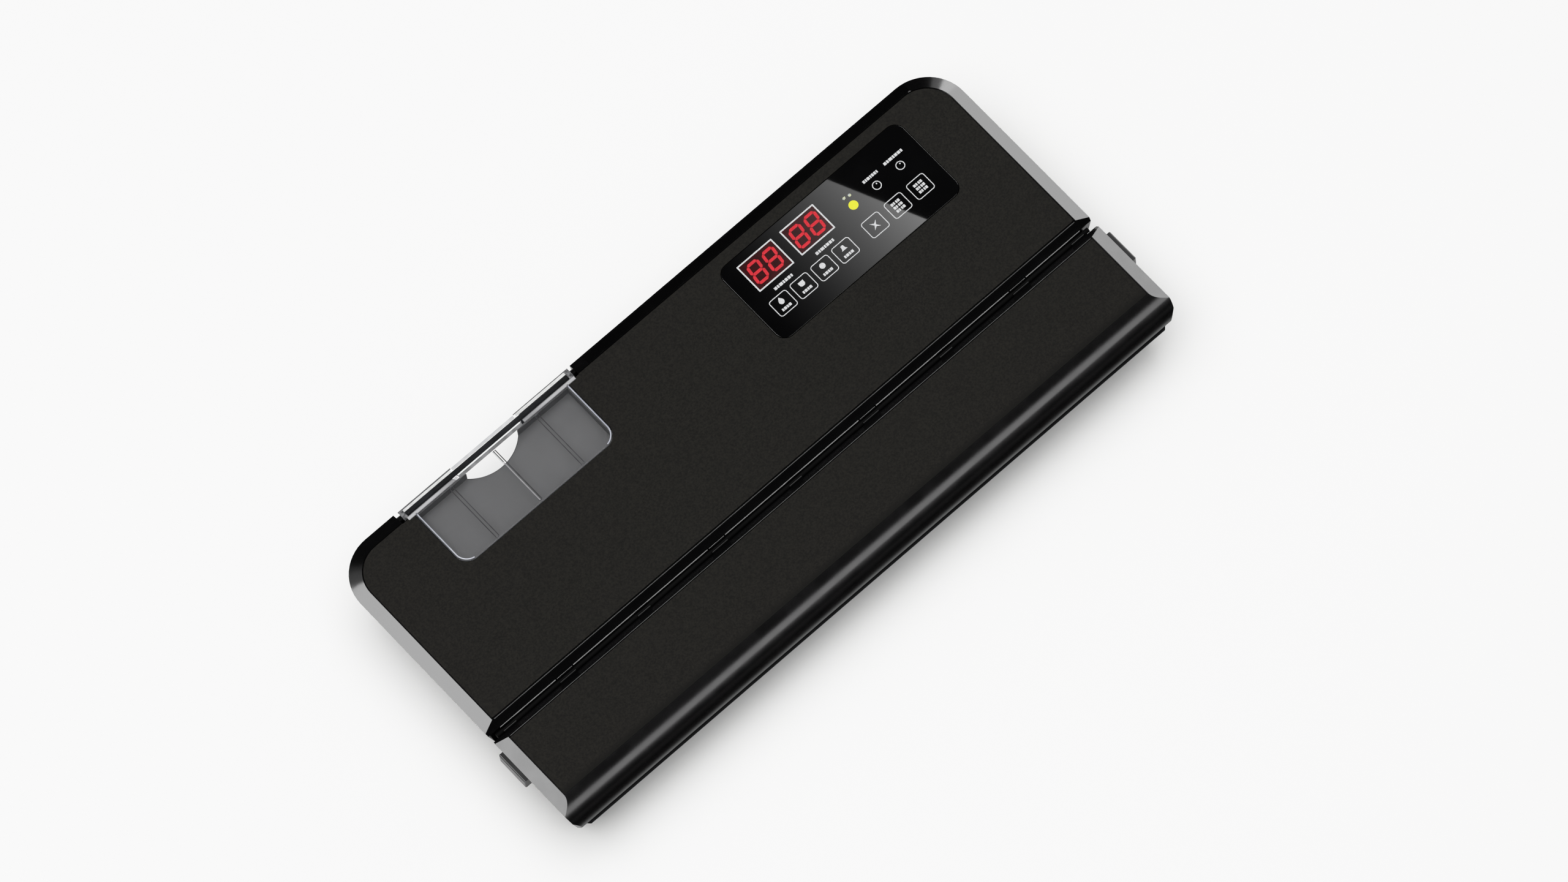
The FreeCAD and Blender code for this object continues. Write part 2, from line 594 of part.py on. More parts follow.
def display_modules():
    """Two two-digit displays, under the touch panel."""
    return Part.makeCompound([box(*span, *DISPLAY_Y, BOARD_Z[1], MODULE_TOP_Z) for span in DISPLAY_X])


def status_led():
    lamp = rod_z(LED_R, BOARD_Z[1], MODULE_TOP_Z, *LED_AT)
    return lamp.fuse(rod_z(LED_R + 0.4, BOARD_Z[1], BOARD_Z[1] + 1.0, *LED_AT))


def control_board():
    return box(TOUCH_X[0] + 3.0, TOUCH_X[1] - 3.0, TOUCH_Y[0] + 3.0, TOUCH_Y[1] - 3.0, *BOARD_Z)


# ---------------------------------------------------------------- sealing deck
def sealing_deck():
    """Flat deck, written as four strips that meet face to face round the trough."""
    deck = case_block(DECK_TOP_Z - DECK_T, DECK_TOP_Z, WALL + 0.3)
    cuts = [box(-HALF_X, HALF_X, COVER_FRONT_Y + 1.0, REAR_Y + 5.0, 20.0, 40.0)]
    cuts.append(box(-TROUGH_X - 1.6, TROUGH_X + 1.6, TROUGH_Y[0] - 1.6, TROUGH_Y[1] + 1.6, 20.0, 40.0))
    cuts.append(gasket_ring(DECK_TOP_Z - 1.0, DECK_TOP_Z + 1.0))
    cuts.append(box(-HEATER_X - 3.0, HEATER_X + 3.0, HEATER_Y - 4.2, HEATER_Y + 4.2, 20.0, 40.0))
    hook_slot = box(HOOK_X[0] - BUTTON_TRAVEL - 1.0, TOE_X + BODY_GAP,
                    HOOK_Y[0] - 6.5, HOOK_Y[1] + 0.6, 20.0, 40.0)
    cuts += [mirrored(hook_slot, side) for side in (-1, 1)]
    deck = deck.cut(cuts)
    hole_x = TROUGH_X + 1.6
    front_y, rear_y = TROUGH_Y[0] - 1.6, TROUGH_Y[1] + 1.6
    strips = [(-HALF_X, HALF_X, FRONT_Y, front_y), (-HALF_X, HALF_X, rear_y, REAR_Y),
              (-HALF_X, -hole_x, front_y, rear_y), (hole_x, HALF_X, front_y, rear_y)]
    return Part.makeCompound([deck.common(box(*strip, 20.0, 40.0)) for strip in strips])


def vacuum_trough():
    """Long shallow trough: a floor, two long walls and two ends that meet face to face."""
    t = 1.5
    x0, x1 = -TROUGH_X, TROUGH_X
    y0, y1 = TROUGH_Y
    floor = box(x0 - t, x1 + t, y0 - t, y1 + t, TROUGH_Z - t, TROUGH_Z)
    floor = floor.cut(rod_z(3.0, 15.0, 30.0, NOZZLE_X, trough_line_y()))
    long_walls = [box(x0 - t, x1 + t, y, y + t, TROUGH_Z, DECK_TOP_Z) for y in (y0 - t, y1)]
    ends = [box(x, x + t, y0, y1, TROUGH_Z, DECK_TOP_Z) for x in (x0 - t, x1)]
    return Part.makeCompound([floor] + long_walls + ends)


def trough_line_y():
    return sum(TROUGH_Y) / 2.0


def vacuum_nozzle():
    at = (NOZZLE_X, trough_line_y())
    tube = rod_z(2.9, 17.0, TROUGH_Z + 3.0, *at)
    collar = rod_z(4.5, TROUGH_Z, TROUGH_Z + 1.0, *at)
    return tube.fuse(collar).cut(rod_z(1.6, 10.0, 40.0, *at))


def lower_gasket():
    return gasket_ring(DECK_TOP_Z - 1.0, 33.2, 0.15)


def upper_gasket():
    return gasket_ring(33.7, 36.5, 0.15)


def heater_bar():
    return box(-HEATER_X - 2.0, HEATER_X + 2.0, HEATER_Y - 4.0, HEATER_Y + 4.0, 24.2, HEATER_TOP_Z)


def heating_element():
    return box(-HEATER_X, HEATER_X, HEATER_Y - 1.5, HEATER_Y + 1.5,
               HEATER_TOP_Z, HEATER_TOP_Z + 0.3)


def ptfe_tape():
    """Thin tape laid over the heating element and down both flanks of the bar's top."""
    blanket = box(-HEATER_X + 1.0, HEATER_X - 1.0, HEATER_Y - 4.0, HEATER_Y + 4.0,
                  HEATER_TOP_Z, HEATER_TOP_Z + 0.55)
    return blanket.cut(heating_element())


def lid_sensor():
    return box(166.0, 174.0, -78.0, -70.0, 24.0, DECK_TOP_Z - DECK_T)


def lid_magnet():
    return rod_z(3.0, 37.5, 40.5, 170.0, -74.0)


# ---------------------------------------------------------------- works inside the case
def pump_motor():
    can = rod_x(MOTOR_R, PUMP_X - 40.0, PUMP_X, PUMP_Y, PUMP_Z)
    return can.cut(rod_x(1.55, PUMP_X - 20.0, PUMP_X + 1.0, PUMP_Y, PUMP_Z))


def pump_shaft():
    """Motor shaft with the eccentric that drives the pump's diaphragms."""
    shaft = rod_x(1.5, PUMP_X - 18.0, PUMP_X + 12.0, PUMP_Y, PUMP_Z)
    return shaft.fuse(rod_x(6.0, PUMP_X + 4.0, PUMP_X + 12.0, PUMP_Y + 1.6, PUMP_Z))


def pump_head():
    head = box(PUMP_X, PUMP_X + 34.0, PUMP_Y - 15.0, PUMP_Y + 15.0, PUMP_Z - 16.0, PUMP_Z + 16.0)
    cavity = rod_x(8.6, PUMP_X + 2.5, PUMP_X + 14.0, PUMP_Y, PUMP_Z)
    nipple = rod_y(2.4, PUMP_Y - 25.0, PUMP_Y - 15.0, PUMP_X + 26.0, PUMP_Z)
    head = head.fuse(nipple)
    bore = rod_y(1.2, PUMP_Y - 26.0, PUMP_Y - 10.0, PUMP_X + 26.0, PUMP_Z)
    return head.cut([cavity, rod_x(2.0, PUMP_X - 1.0, PUMP_X + 4.0, PUMP_Y, PUMP_Z), bore])


def pump_bracket():
    """Bent steel saddle that holds the motor to the floor of the tray."""
    y0, y1 = PUMP_Y - 17.0, PUMP_Y + 17.0
    plate = box(PUMP_X - 34.0, PUMP_X - 8.0, y0 - 10.0, y1 + 10.0, FLOOR_Z + WALL, FLOOR_Z + WALL + 1.5)
    cheeks = box(PUMP_X - 34.0, PUMP_X - 8.0, y0, y1, FLOOR_Z + WALL, PUMP_Z)
    saddle = fuse([plate, cheeks])
    return saddle.cut([rod_x(MOTOR_R + 0.05, PUMP_X - 41.0, PUMP_X + 1.0, PUMP_Y, PUMP_Z)])


def vacuum_hose():
    """Silicone hose from the pump's nipple to the nozzle under the trough."""
    nozzle_y = trough_line_y()
    points = [V(PUMP_X + 26.0, PUMP_Y - 16.0, PUMP_Z), V(PUMP_X + 26.0, -20.0, PUMP_Z),
              V(NOZZLE_X, nozzle_y, PUMP_Z - 11.0), V(NOZZLE_X, nozzle_y, 21.0)]
    return bent_tube(points, 4.0, 3.0, 5.0)


def solenoid_valve():
    body = box(-92.0, -72.0, -8.0, 8.0, FLOOR_Z + WALL, 22.0)
    coil = rod_z(7.0, 22.0, 34.0, -82.0, 0.0)
    spout = rod_x(2.0, -72.0, -64.0, 0.0, 14.0)
    return fuse([body, coil, spout])


def power_board():
    board = box(84.0, 172.0, -12.0, 48.0, *POWER_BOARD_Z)
    posts = [rod_z(2.0, FLOOR_Z + WALL, POWER_BOARD_Z[0], x, y) for x in (88.0, 168.0) for y in (-8.0, 44.0)]
    return fuse([board] + posts)


def transformer():
    core = box(126.0, 164.0, 0.0, 34.0, POWER_BOARD_Z[1], 38.0)
    coil = box(130.0, 160.0, -4.0, 38.0, 15.0, 34.0)
    return core.fuse(coil)


def board_capacitors():
    return Part.makeCompound([rod_z(4.5, POWER_BOARD_Z[1], 28.0, x, 26.0) for x in (94.0, 106.0)])


def panel_ribbon():
    """Flat cable from the power board up to the control board."""
    return box(96.0, 112.0, 38.0, 38.4, POWER_BOARD_Z[1], BOARD_Z[0])


def power_inlet():
    """Two-pin inlet with a figure-eight mouth."""
    half_w, half_h = INLET_HALF_W - 0.3, INLET_HALF_H - 0.3
    lobe_r = 4.2
    body = box(INLET_X - half_w, INLET_X + half_w, 66.0, INLET_FACE_Y, INLET_Z - half_h, INLET_Z + half_h)
    mouth = box(INLET_X - PIN_DX, INLET_X + PIN_DX, 71.0, INLET_FACE_Y + 1.0,
                INLET_Z - lobe_r, INLET_Z + lobe_r)
    lobes = [rod_y(lobe_r, 71.0, INLET_FACE_Y + 1.0, INLET_X + dx, INLET_Z) for dx in (-PIN_DX, PIN_DX)]
    body = body.cut([mouth] + lobes)
    pins = [rod_y(1.2, 70.0, 79.5, INLET_X + dx, INLET_Z) for dx in (-PIN_DX, PIN_DX)]
    return fuse([body] + pins)


def hose_port():
    """Socket for the hose of a jar or canister lid."""
    out_x = 193.2
    body = rod_x(4.9, 178.0, out_x, PORT_Y, PORT_Z)
    flange = rod_x(6.5, 186.0, 188.0, PORT_Y, PORT_Z)
    return body.fuse(flange).cut(rod_x(PORT_BORE_R, out_x - PORT_DEPTH, out_x + 1.0, PORT_Y, PORT_Z))


def rubber_feet():
    feet = []
    for x, y in foot_places():
        foot = rod_z(FOOT_R, 0.0, FOOT_H, x, y)
        feet.append(foot.makeChamfer(0.8, [e for e in foot.Edges if e.BoundBox.ZMax < 0.01]))
    return Part.makeCompound(feet)


def case_screws():
    screws = []
    for x, y in SCREW_XY:
        head = rod_z(3.1, FLOOR_Z + 1.0, FLOOR_Z + 3.0, x, y)
        shank = rod_z(1.45, FLOOR_Z + 3.0, 36.0, x, y)
        socket = box(x - 2.0, x + 2.0, y - 0.4, y + 0.4, FLOOR_Z, FLOOR_Z + 1.8)
        screws.append(head.fuse(shank).cut(socket))
    return Part.makeCompound(screws)


# ---------------------------------------------------------------- write every piece
PIECES = {
    "base_tray": base_tray,
    "rear_cover": rear_cover,
    "rear_top_panel": rear_top_panel,
    "rear_trim_strip": rear_trim_strip,
    "lid_hinge_rod": lid_hinge_rod,
    "lid_shell": lid_shell,
    "lid_top_panel": lid_top_panel,
    "lid_inner_frame": lid_inner_frame,
    "pressure_strip": pressure_strip,
    "upper_gasket": upper_gasket,
    "lower_gasket": lower_gasket,
    "release_button_left": lambda: release_button(-1),
    "release_button_right": lambda: release_button(1),
    "button_spring_left": lambda: button_spring(-1),
    "button_spring_right": lambda: button_spring(1),
    "button_guide_left": lambda: button_guide(-1),
    "button_guide_right": lambda: button_guide(1),
    "clear_cover": clear_cover,
    "cover_hinge_rod": cover_hinge_rod,
    "pocket_liner": pocket_liner,
    "touch_panel": touch_panel,
    "display_modules": display_modules,
    "status_led": status_led,
    "control_board": control_board,
    "sealing_deck": sealing_deck,
    "vacuum_trough": vacuum_trough,
    "vacuum_nozzle": vacuum_nozzle,
    "heater_bar": heater_bar,
    "heating_element": heating_element,
    "ptfe_tape": ptfe_tape,
    "lid_sensor": lid_sensor,
    "lid_magnet": lid_magnet,
    "pump_motor": pump_motor,
    "pump_shaft": pump_shaft,
    "pump_head": pump_head,
    "pump_bracket": pump_bracket,
    "vacuum_hose": vacuum_hose,
    "solenoid_valve": solenoid_valve,
    "power_board": power_board,
    "transformer": transformer,
    "board_capacitors": board_capacitors,
    "panel_ribbon": panel_ribbon,
    "power_inlet": power_inlet,
    "hose_port": hose_port,
    "rubber_feet": rubber_feet,
    "case_screws": case_screws,
}

os.makedirs("parts", exist_ok=True)
for node, make in PIECES.items():
    shape = make()
    print(node, "solids", len(shape.Solids), "valid", shape.isValid(), "volume", round(shape.Volume, 1))
    shape.exportStep("parts/" + node + ".step")
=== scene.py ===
import math

import bmesh
import bpy
from mathutils import Matrix, Vector


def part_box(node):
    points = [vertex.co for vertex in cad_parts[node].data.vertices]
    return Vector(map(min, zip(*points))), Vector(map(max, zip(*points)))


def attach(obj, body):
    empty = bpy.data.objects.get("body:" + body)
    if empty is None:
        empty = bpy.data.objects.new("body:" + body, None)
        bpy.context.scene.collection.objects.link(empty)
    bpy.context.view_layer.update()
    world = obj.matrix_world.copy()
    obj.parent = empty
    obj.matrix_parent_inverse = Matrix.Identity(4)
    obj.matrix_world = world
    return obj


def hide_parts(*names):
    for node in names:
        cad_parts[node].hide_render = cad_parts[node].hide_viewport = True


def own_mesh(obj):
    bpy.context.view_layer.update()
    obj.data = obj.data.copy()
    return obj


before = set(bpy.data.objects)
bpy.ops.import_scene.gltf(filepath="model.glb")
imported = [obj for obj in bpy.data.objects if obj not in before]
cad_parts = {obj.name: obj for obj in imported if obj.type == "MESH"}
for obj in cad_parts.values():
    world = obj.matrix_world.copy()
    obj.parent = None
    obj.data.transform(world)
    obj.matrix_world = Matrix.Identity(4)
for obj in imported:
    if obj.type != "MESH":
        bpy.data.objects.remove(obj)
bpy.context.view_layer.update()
MM = 0.001

# ---------------------------------------------------------------- places, read from the CAD parts
TOP_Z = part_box("rear_top_panel")[1].z
PRINT_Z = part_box("touch_panel")[1].z        # printed marks lie on the touch panel
PRINT_T = 0.03 * MM

# ---------------------------------------------------------------- camera
VIEW_TARGET = Vector((9.09, -11.79, 50.0)) * MM
VIEW_AZIMUTH = math.radians(-33.12)  # from straight in front, towards +X
VIEW_ELEVATION = math.radians(68.33)
VIEW_ROLL = math.radians(9.32)
VIEW_DISTANCE = 6.042
VIEW_LENS = 281.25


def toward_camera():
    return Vector((math.cos(VIEW_ELEVATION) * math.sin(VIEW_AZIMUTH),
                   -math.cos(VIEW_ELEVATION) * math.cos(VIEW_AZIMUTH),
                   math.sin(VIEW_ELEVATION)))


def add_camera():
    to_camera = toward_camera()
    upright = (Vector((0, 0, 1)) - to_camera * to_camera.z).normalized()
    side = (-to_camera).cross(upright)
    up = upright * math.cos(VIEW_ROLL) + side * math.sin(VIEW_ROLL)
    right = (-to_camera).cross(up)
    data = bpy.data.cameras.new("camera")
    data.lens = VIEW_LENS
    data.sensor_width = 36.0
    camera = bpy.data.objects.new("camera", data)
    bpy.context.collection.objects.link(camera)
    axes = Matrix((right, up, to_camera)).transposed().to_4x4()
    camera.matrix_world = Matrix.Translation(VIEW_TARGET + to_camera * VIEW_DISTANCE) @ axes
    bpy.context.scene.camera = camera


# ---------------------------------------------------------------- material helpers
class Surface:
    """A node material built round one Principled shader, in object coordinates."""

    def __init__(self, name, color, roughness, specular=0.5, metallic=0.0, ior=1.5):
        self.material = bpy.data.materials.new(name)
        self.material.use_nodes = True
        self.tree = self.material.node_tree
        self.shader = self.tree.nodes["Principled BSDF"]
        self.set("Base Color", (*color, 1.0))
        self.set("Roughness", roughness)
        self.set("Specular IOR Level", specular)
        self.set("Metallic", metallic)
        self.set("IOR", ior)
        self.place = self.node("ShaderNodeTexCoord").outputs["Object"]

    def node(self, kind, **settings):
        node = self.tree.nodes.new(kind)
        for key, value in settings.items():
            setattr(node, key, value)
        return node

    def set(self, socket, value):
        self.shader.inputs[socket].default_value = value

    def link(self, source, target):
        self.tree.links.new(source, target)

    def noise(self, size, detail=2.0, stretch=(1, 1, 1)):
        """Noise with features of about size metres."""
        mapping = self.node("ShaderNodeMapping")
        mapping.inputs["Scale"].default_value = [s / size for s in stretch]
        self.link(self.place, mapping.inputs["Vector"])
        noise = self.node("ShaderNodeTexNoise")
        noise.inputs["Scale"].default_value = 1.0
        noise.inputs["Detail"].default_value = detail
        self.link(mapping.outputs["Vector"], noise.inputs["Vector"])
        return noise.outputs["Fac"]

    def ramp(self, source, low, high, to_low, to_high):
        node = self.node("ShaderNodeMapRange", interpolation_type="SMOOTHSTEP")
        for name, value in zip(("From Min", "From Max", "To Min", "To Max"), (low, high, to_low, to_high)):
            node.inputs[name].default_value = value
        self.link(source, node.inputs["Value"])
        return node.outputs["Result"]

    def mix(self, factor, first, second):
        node = self.node("ShaderNodeMix", data_type="RGBA")
        self.link(factor, node.inputs[0])
        for socket, value in ((node.inputs[6], first), (node.inputs[7], second)):
            if isinstance(value, tuple):
                socket.default_value = (*value, 1.0)
            else:
                self.link(value, socket)
        return node.outputs[2]

    def tint(self, source, first, second, low=0.35, high=0.65):
        """Base colour that wanders between two close colours."""
        color = self.mix(self.ramp(source, low, high, 0.0, 1.0), first, second)
        self.link(color, self.shader.inputs["Base Color"])
        return color

    def rough(self, source, low, high):
        self.link(self.ramp(source, 0.3, 0.7, low, high), self.shader.inputs["Roughness"])

    def split(self, vector):
        node = self.node("ShaderNodeSeparateXYZ")
        self.link(vector, node.inputs[0])
        return node.outputs

    def math(self, operation, first, second=None):
        node = self.node("ShaderNodeMath", operation=operation)
        for socket, value in zip(node.inputs, (first, second)):
            if isinstance(value, float):
                socket.default_value = value
            elif value is not None:
                self.link(value, socket)
        return node.outputs[0]

    def band(self, source, low, high, soft, height):
        """A value of height between low and high, fading to nothing over soft on both sides."""
        rise = self.ramp(source, low - soft, low, 0.0, height)
        fall = self.ramp(source, high, high + soft, 1.0, 0.0)
        return self.math("MULTIPLY", rise, fall)

    def bump(self, source, depth, strength=1.0):
        """Surface relief of depth metres; a second call adds to the first."""
        node = self.node("ShaderNodeBump")
        node.inputs["Strength"].default_value = strength
        node.inputs["Distance"].default_value = depth
        self.link(source, node.inputs["Height"])
        normal = self.shader.inputs["Normal"]
        if normal.is_linked:
            self.link(normal.links[0].from_socket, node.inputs["Normal"])
        self.link(node.outputs["Normal"], normal)


def scaled(color, factor):
    return tuple(c * factor for c in color)


def moulded(name, color, roughness, grain=0.5 * MM, depth=0.004 * MM, specular=0.5, wander=0.12):
    """Moulded plastic: a fine grain, slow changes of gloss and a trace of colour change."""
    s = Surface(name, color, roughness, specular)
    s.tint(s.noise(18 * MM, 3.0), scaled(color, 1.0 - wander), scaled(color, 1.0 + wander))
    s.rough(s.noise(9 * MM, 3.0), roughness * 0.92, min(1.0, roughness * 1.08))
    s.bump(s.noise(grain, 2.0), depth)
    return s


# The groove's fine lines are its painted highlight strips.
GROOVE_END = 192.0                  # the groove's fine lines and its shade stop short of the ends, in mm
GROOVE_SHADE_Y = (-32.0, -27.1)
GROOVE_SHADE_Z = (34.2, 45.9)


def shade_groove(surface):
    """Take the gloss off the loops and walls at the bottom of the hinge groove, which see no lamp."""
    place = surface.split(surface.place)
    inside = surface.band(place["X"], -GROOVE_END * MM, GROOVE_END * MM, 0.5 * MM, 1.0)
    for axis, (low, high), soft in (("Y", GROOVE_SHADE_Y, 0.2), ("Z", GROOVE_SHADE_Z, 0.3)):
        across = surface.band(place[axis], low * MM, high * MM, soft * MM, 1.0)
        inside = surface.math("MULTIPLY", inside, across)
    surface.link(surface.ramp(inside, 0.0, 1.0, 0.5, 0.02), surface.shader.inputs["Specular IOR Level"])
    return surface


def metal(name, color, roughness, stretch=(1, 1, 1)):
    s = Surface(name, color, roughness, metallic=1.0)
    s.tint(s.noise(6 * MM, 4.0, stretch), scaled(color, 0.85), color)
    s.rough(s.noise(1.5 * MM, 3.0, stretch), roughness * 0.8, roughness * 1.25)
    s.bump(s.noise(0.4 * MM, 2.0, stretch), 0.002 * MM)
    return s


def glowing(name, color, faint, roughness=0.3):
    """Lit plastic whose glow wanders between two colours."""
    s = Surface(name, scaled(color, 0.03), roughness, 0.2)
    glow = s.mix(s.ramp(s.noise(0.8 * MM, 2.0), 0.3, 0.7, 0.0, 1.0), faint, color)
    s.link(glow, s.shader.inputs["Emission Color"])
    s.set("Emission Strength", 1.0)
    return s


# ---------------------------------------------------------------- materials, by the record's slots
BLACK = (0.0012, 0.0012, 0.0013)


def matte_plate(name, painted_front_shade=False):
    """Fine-grained matte skin of the top plates; on the lid plate, painted shade darkens its last 5 mm
    towards the front roll.
    """
    color = (0.0040, 0.0036, 0.0026)
    s = Surface(name, color, 0.62, 0.10)
    fine = s.noise(0.9 * MM, 3.0)
    toned = s.tint(fine, scaled(color, 0.5), scaled(color, 1.5), 0.25, 0.75)
    if painted_front_shade:
        # Painted shade: the base colour darkens towards the lid plate's front edge, where the roll begins to
        # turn away and mirror the dark room.
        roll_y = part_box("lid_top_panel")[0].y
        shade = s.ramp(s.split(s.place)["Y"], roll_y, roll_y + 5.0 * MM, 0.0, 1.0)
        s.link(s.mix(shade, scaled(color, 0.45), toned), s.shader.inputs["Base Color"])
    s.rough(s.noise(7 * MM, 3.0), 0.60, 0.64)
    s.bump(fine, 0.020 * MM, 0.7)
    s.bump(s.noise(1.6 * MM, 2.0), 0.006 * MM, 0.5)
    return s


def clear_plastic(name):
    """Thin clear plastic: see-through, with a faint haze, and steep cut edges on the plate made part opaque
    grey as a painted highlight.
    """
    s = Surface(name, (0.26, 0.27, 0.30), 0.06, 0.5, ior=1.49)
    normal = s.split(s.node("ShaderNodeNewGeometry").outputs["Normal"])
    loop_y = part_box("cover_hinge_rod")[0].y - 2.3 * MM
    on_plate = s.ramp(s.split(s.place)["Y"], loop_y - 0.2 * MM, loop_y + 0.2 * MM, 1.0, 0.0)
    # Painted highlight: the plate's steep cut edges turn part opaque grey, standing for the light that the
    # clear edges catch and bend.
    edge_highlight = s.ramp(s.math("ABSOLUTE", normal["Z"]), 0.55, 0.98, 0.7, 0.0)
    haze = s.ramp(s.noise(14 * MM, 3.0), 0.3, 0.7, 0.010, 0.022)
    s.link(s.math("ADD", s.math("MULTIPLY", edge_highlight, on_plate), haze), s.shader.inputs["Alpha"])
    s.rough(s.noise(4 * MM, 2.0), 0.04, 0.08)
    return s


def build_materials():
    made = {
        "case_gloss_black": shade_groove(moulded("case_gloss_black", BLACK, 0.13, 2.5 * MM, 0.0006 * MM)),
        "lid_gloss_black": shade_groove(moulded("lid_gloss_black", BLACK, 0.24, 2.5 * MM, 0.0008 * MM)),
        "trim_gloss_black": moulded("trim_gloss_black", scaled(BLACK, 0.6), 0.10, 3.0 * MM, 0.0005 * MM),
        "plate_matte_black": matte_plate("plate_matte_black"),
        "plate_matte_black_lid_front_shade": matte_plate("plate_matte_black_lid_front_shade", True),
        "inner_matte_black": moulded("inner_matte_black", (0.008, 0.008, 0.008), 0.55, specular=0.3),
        "hinge_steel": moulded("hinge_steel", (0.002, 0.002, 0.002), 0.6, 0.6 * MM, 0.002 * MM, 0.02),
        "silicone_strip": moulded("silicone_strip", (0.10, 0.095, 0.09), 0.6, 0.6 * MM, 0.01 * MM),
        "foam_gasket": moulded("foam_gasket", (0.03, 0.03, 0.031), 0.9, 0.45 * MM, 0.12 * MM),
        "button_satin_black": moulded("button_satin_black", (0.010, 0.010, 0.0105), 0.34,
                                      0.5 * MM, 0.003 * MM),
        "spring_steel": metal("spring_steel", (0.5, 0.5, 0.5), 0.25),
        "clear_plastic": clear_plastic("clear_plastic"),
        "rod_black": moulded("rod_black", (0.0015, 0.0015, 0.0015), 0.4, specular=0.03),
        "liner_grey": moulded("liner_grey", (0.060, 0.060, 0.061), 0.6, 0.5 * MM, 0.012 * MM, 0.2, 0.03),
        "panel_gloss_black": moulded("panel_gloss_black", BLACK, 0.018, 6.0 * MM, 0.0002 * MM),
        "display_red": glowing("display_red", (0.80, 0.036, 0.05), (0.60, 0.022, 0.034)),
        "led_yellow": glowing("led_yellow", (1.0, 1.0, 0.055), (0.94, 0.94, 0.04)),
        "pcb_green": moulded("pcb_green", (0.012, 0.06, 0.025), 0.45, 1.2 * MM, 0.01 * MM),
        "deck_black": moulded("deck_black", (0.010, 0.010, 0.010), 0.5, specular=0.4),
        "nozzle_grey": moulded("nozzle_grey", (0.2, 0.2, 0.2), 0.45),
        "phenolic_bar": moulded("phenolic_bar", (0.09, 0.045, 0.02), 0.5),
        "nichrome": metal("nichrome", (0.42, 0.40, 0.36), 0.35, (0.1, 1, 1)),
        "ptfe_tape": woven_tape("ptfe_tape"),
        "sensor_black": moulded("sensor_black", (0.01, 0.01, 0.01), 0.45),
        "magnet_nickel": metal("magnet_nickel", (0.6, 0.58, 0.54), 0.2),
        "motor_steel": metal("motor_steel", (0.45, 0.45, 0.46), 0.35),
        "pump_plastic": moulded("pump_plastic", (0.02, 0.021, 0.025), 0.5),
        "silicone_hose": moulded("silicone_hose", (0.5, 0.48, 0.44), 0.5),
        "transformer_core": metal("transformer_core", (0.18, 0.17, 0.16), 0.5, (1, 1, 6)),
        "capacitor_sleeve": moulded("capacitor_sleeve", (0.02, 0.03, 0.09), 0.3),
        "ribbon_grey": moulded("ribbon_grey", (0.3, 0.3, 0.31), 0.55),
        "inlet_black": moulded("inlet_black", (0.01, 0.01, 0.01), 0.4),
        "rubber_black": moulded("rubber_black", (0.010, 0.010, 0.010), 0.85, 0.4 * MM, 0.02 * MM),
        "screw_steel": metal("screw_steel", (0.4, 0.4, 0.42), 0.3),
    }
    return {name: surface.material for name, surface in made.items()}


def woven_tape(name):
    """Brown glass-weave tape over the sealing wire."""
    color = (0.16, 0.085, 0.035)
    s = Surface(name, color, 0.45)
    waves = []
    for axis in ("X", "Y"):
        wave = s.node("ShaderNodeTexWave", bands_direction=axis)
        wave.inputs["Scale"].default_value = 1.0 / (2.6 * MM)
        s.link(s.place, wave.inputs["Vector"])
        waves.append(wave.outputs["Fac"])
    weave = s.math("MULTIPLY", *waves)
    s.tint(weave, scaled(color, 0.7), scaled(color, 1.3), 0.2, 0.7)
    s.bump(weave, 0.03 * MM)
    return s


# ---------------------------------------------------------------- shells with softened edges
def add_piece(name, mesh, body, material):
    piece = bpy.data.objects.new(name, mesh)
    bpy.context.collection.objects.link(piece)
    mesh.materials.clear()
    mesh.materials.append(material)
    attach(piece, body)
    return piece


def soften(node, body, material, radius, smallest=2.5 * MM * MM, recess=0.9 * MM):
    """A clean copy of a CAD piece, its outer edges rounded to radius, in place of the plain one.

    Edges of faces under the smallest area, and of walls no higher than a recess, stay sharp."""
    bm = bmesh.new()
    bm.from_mesh(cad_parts[node].data)
    bmesh.ops.remove_doubles(bm, verts=bm.verts, dist=0.002 * MM)
    bmesh.ops.dissolve_limit(bm, angle_limit=math.radians(0.4), verts=bm.verts, edges=bm.edges)
    outer = [e for e in bm.edges if is_outer(e, smallest, recess)]
    bmesh.ops.bevel(bm, geom=outer, offset=radius, segments=3, profile=0.5, affect="EDGES",
                    clamp_overlap=True)
    for face in bm.faces:
        face.smooth = True
    for edge in bm.edges:
        edge.smooth = len(edge.link_faces) == 2 and edge.calc_face_angle(0.0) < math.radians(40.0)
    mesh = bpy.data.meshes.new(node + "_soft")
    bm.to_mesh(mesh)
    bm.free()
    piece = add_piece(node + "_soft", mesh, body, material)
    weighted = piece.modifiers.new("normals", "WEIGHTED_NORMAL")
    weighted.keep_sharp = True
    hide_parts(node)


def is_outer(edge, smallest, recess):
    """True for a sharp outer edge between two faces that are large enough to round."""
    if len(edge.link_faces) != 2 or not edge.is_convex or edge.calc_face_angle(0.0) < math.radians(18.0):
        return False
    for face in edge.link_faces:
        heights = [v.co.z for v in face.verts]
        if face.calc_area() < smallest or (abs(face.normal.z) < 0.1 and max(heights) - min(heights) < recess):
            return False
    return True


def button_springs():
    """The springs stand on the lid as copies of their CAD pieces."""
    for side, name in ((-1, "left"), (1, "right")):
        node = "button_spring_" + name
        coil = add_piece(node + "_coil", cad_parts[node].data.copy(), "lid", MATERIALS["spring_steel"])
        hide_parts(node)
        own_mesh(coil)


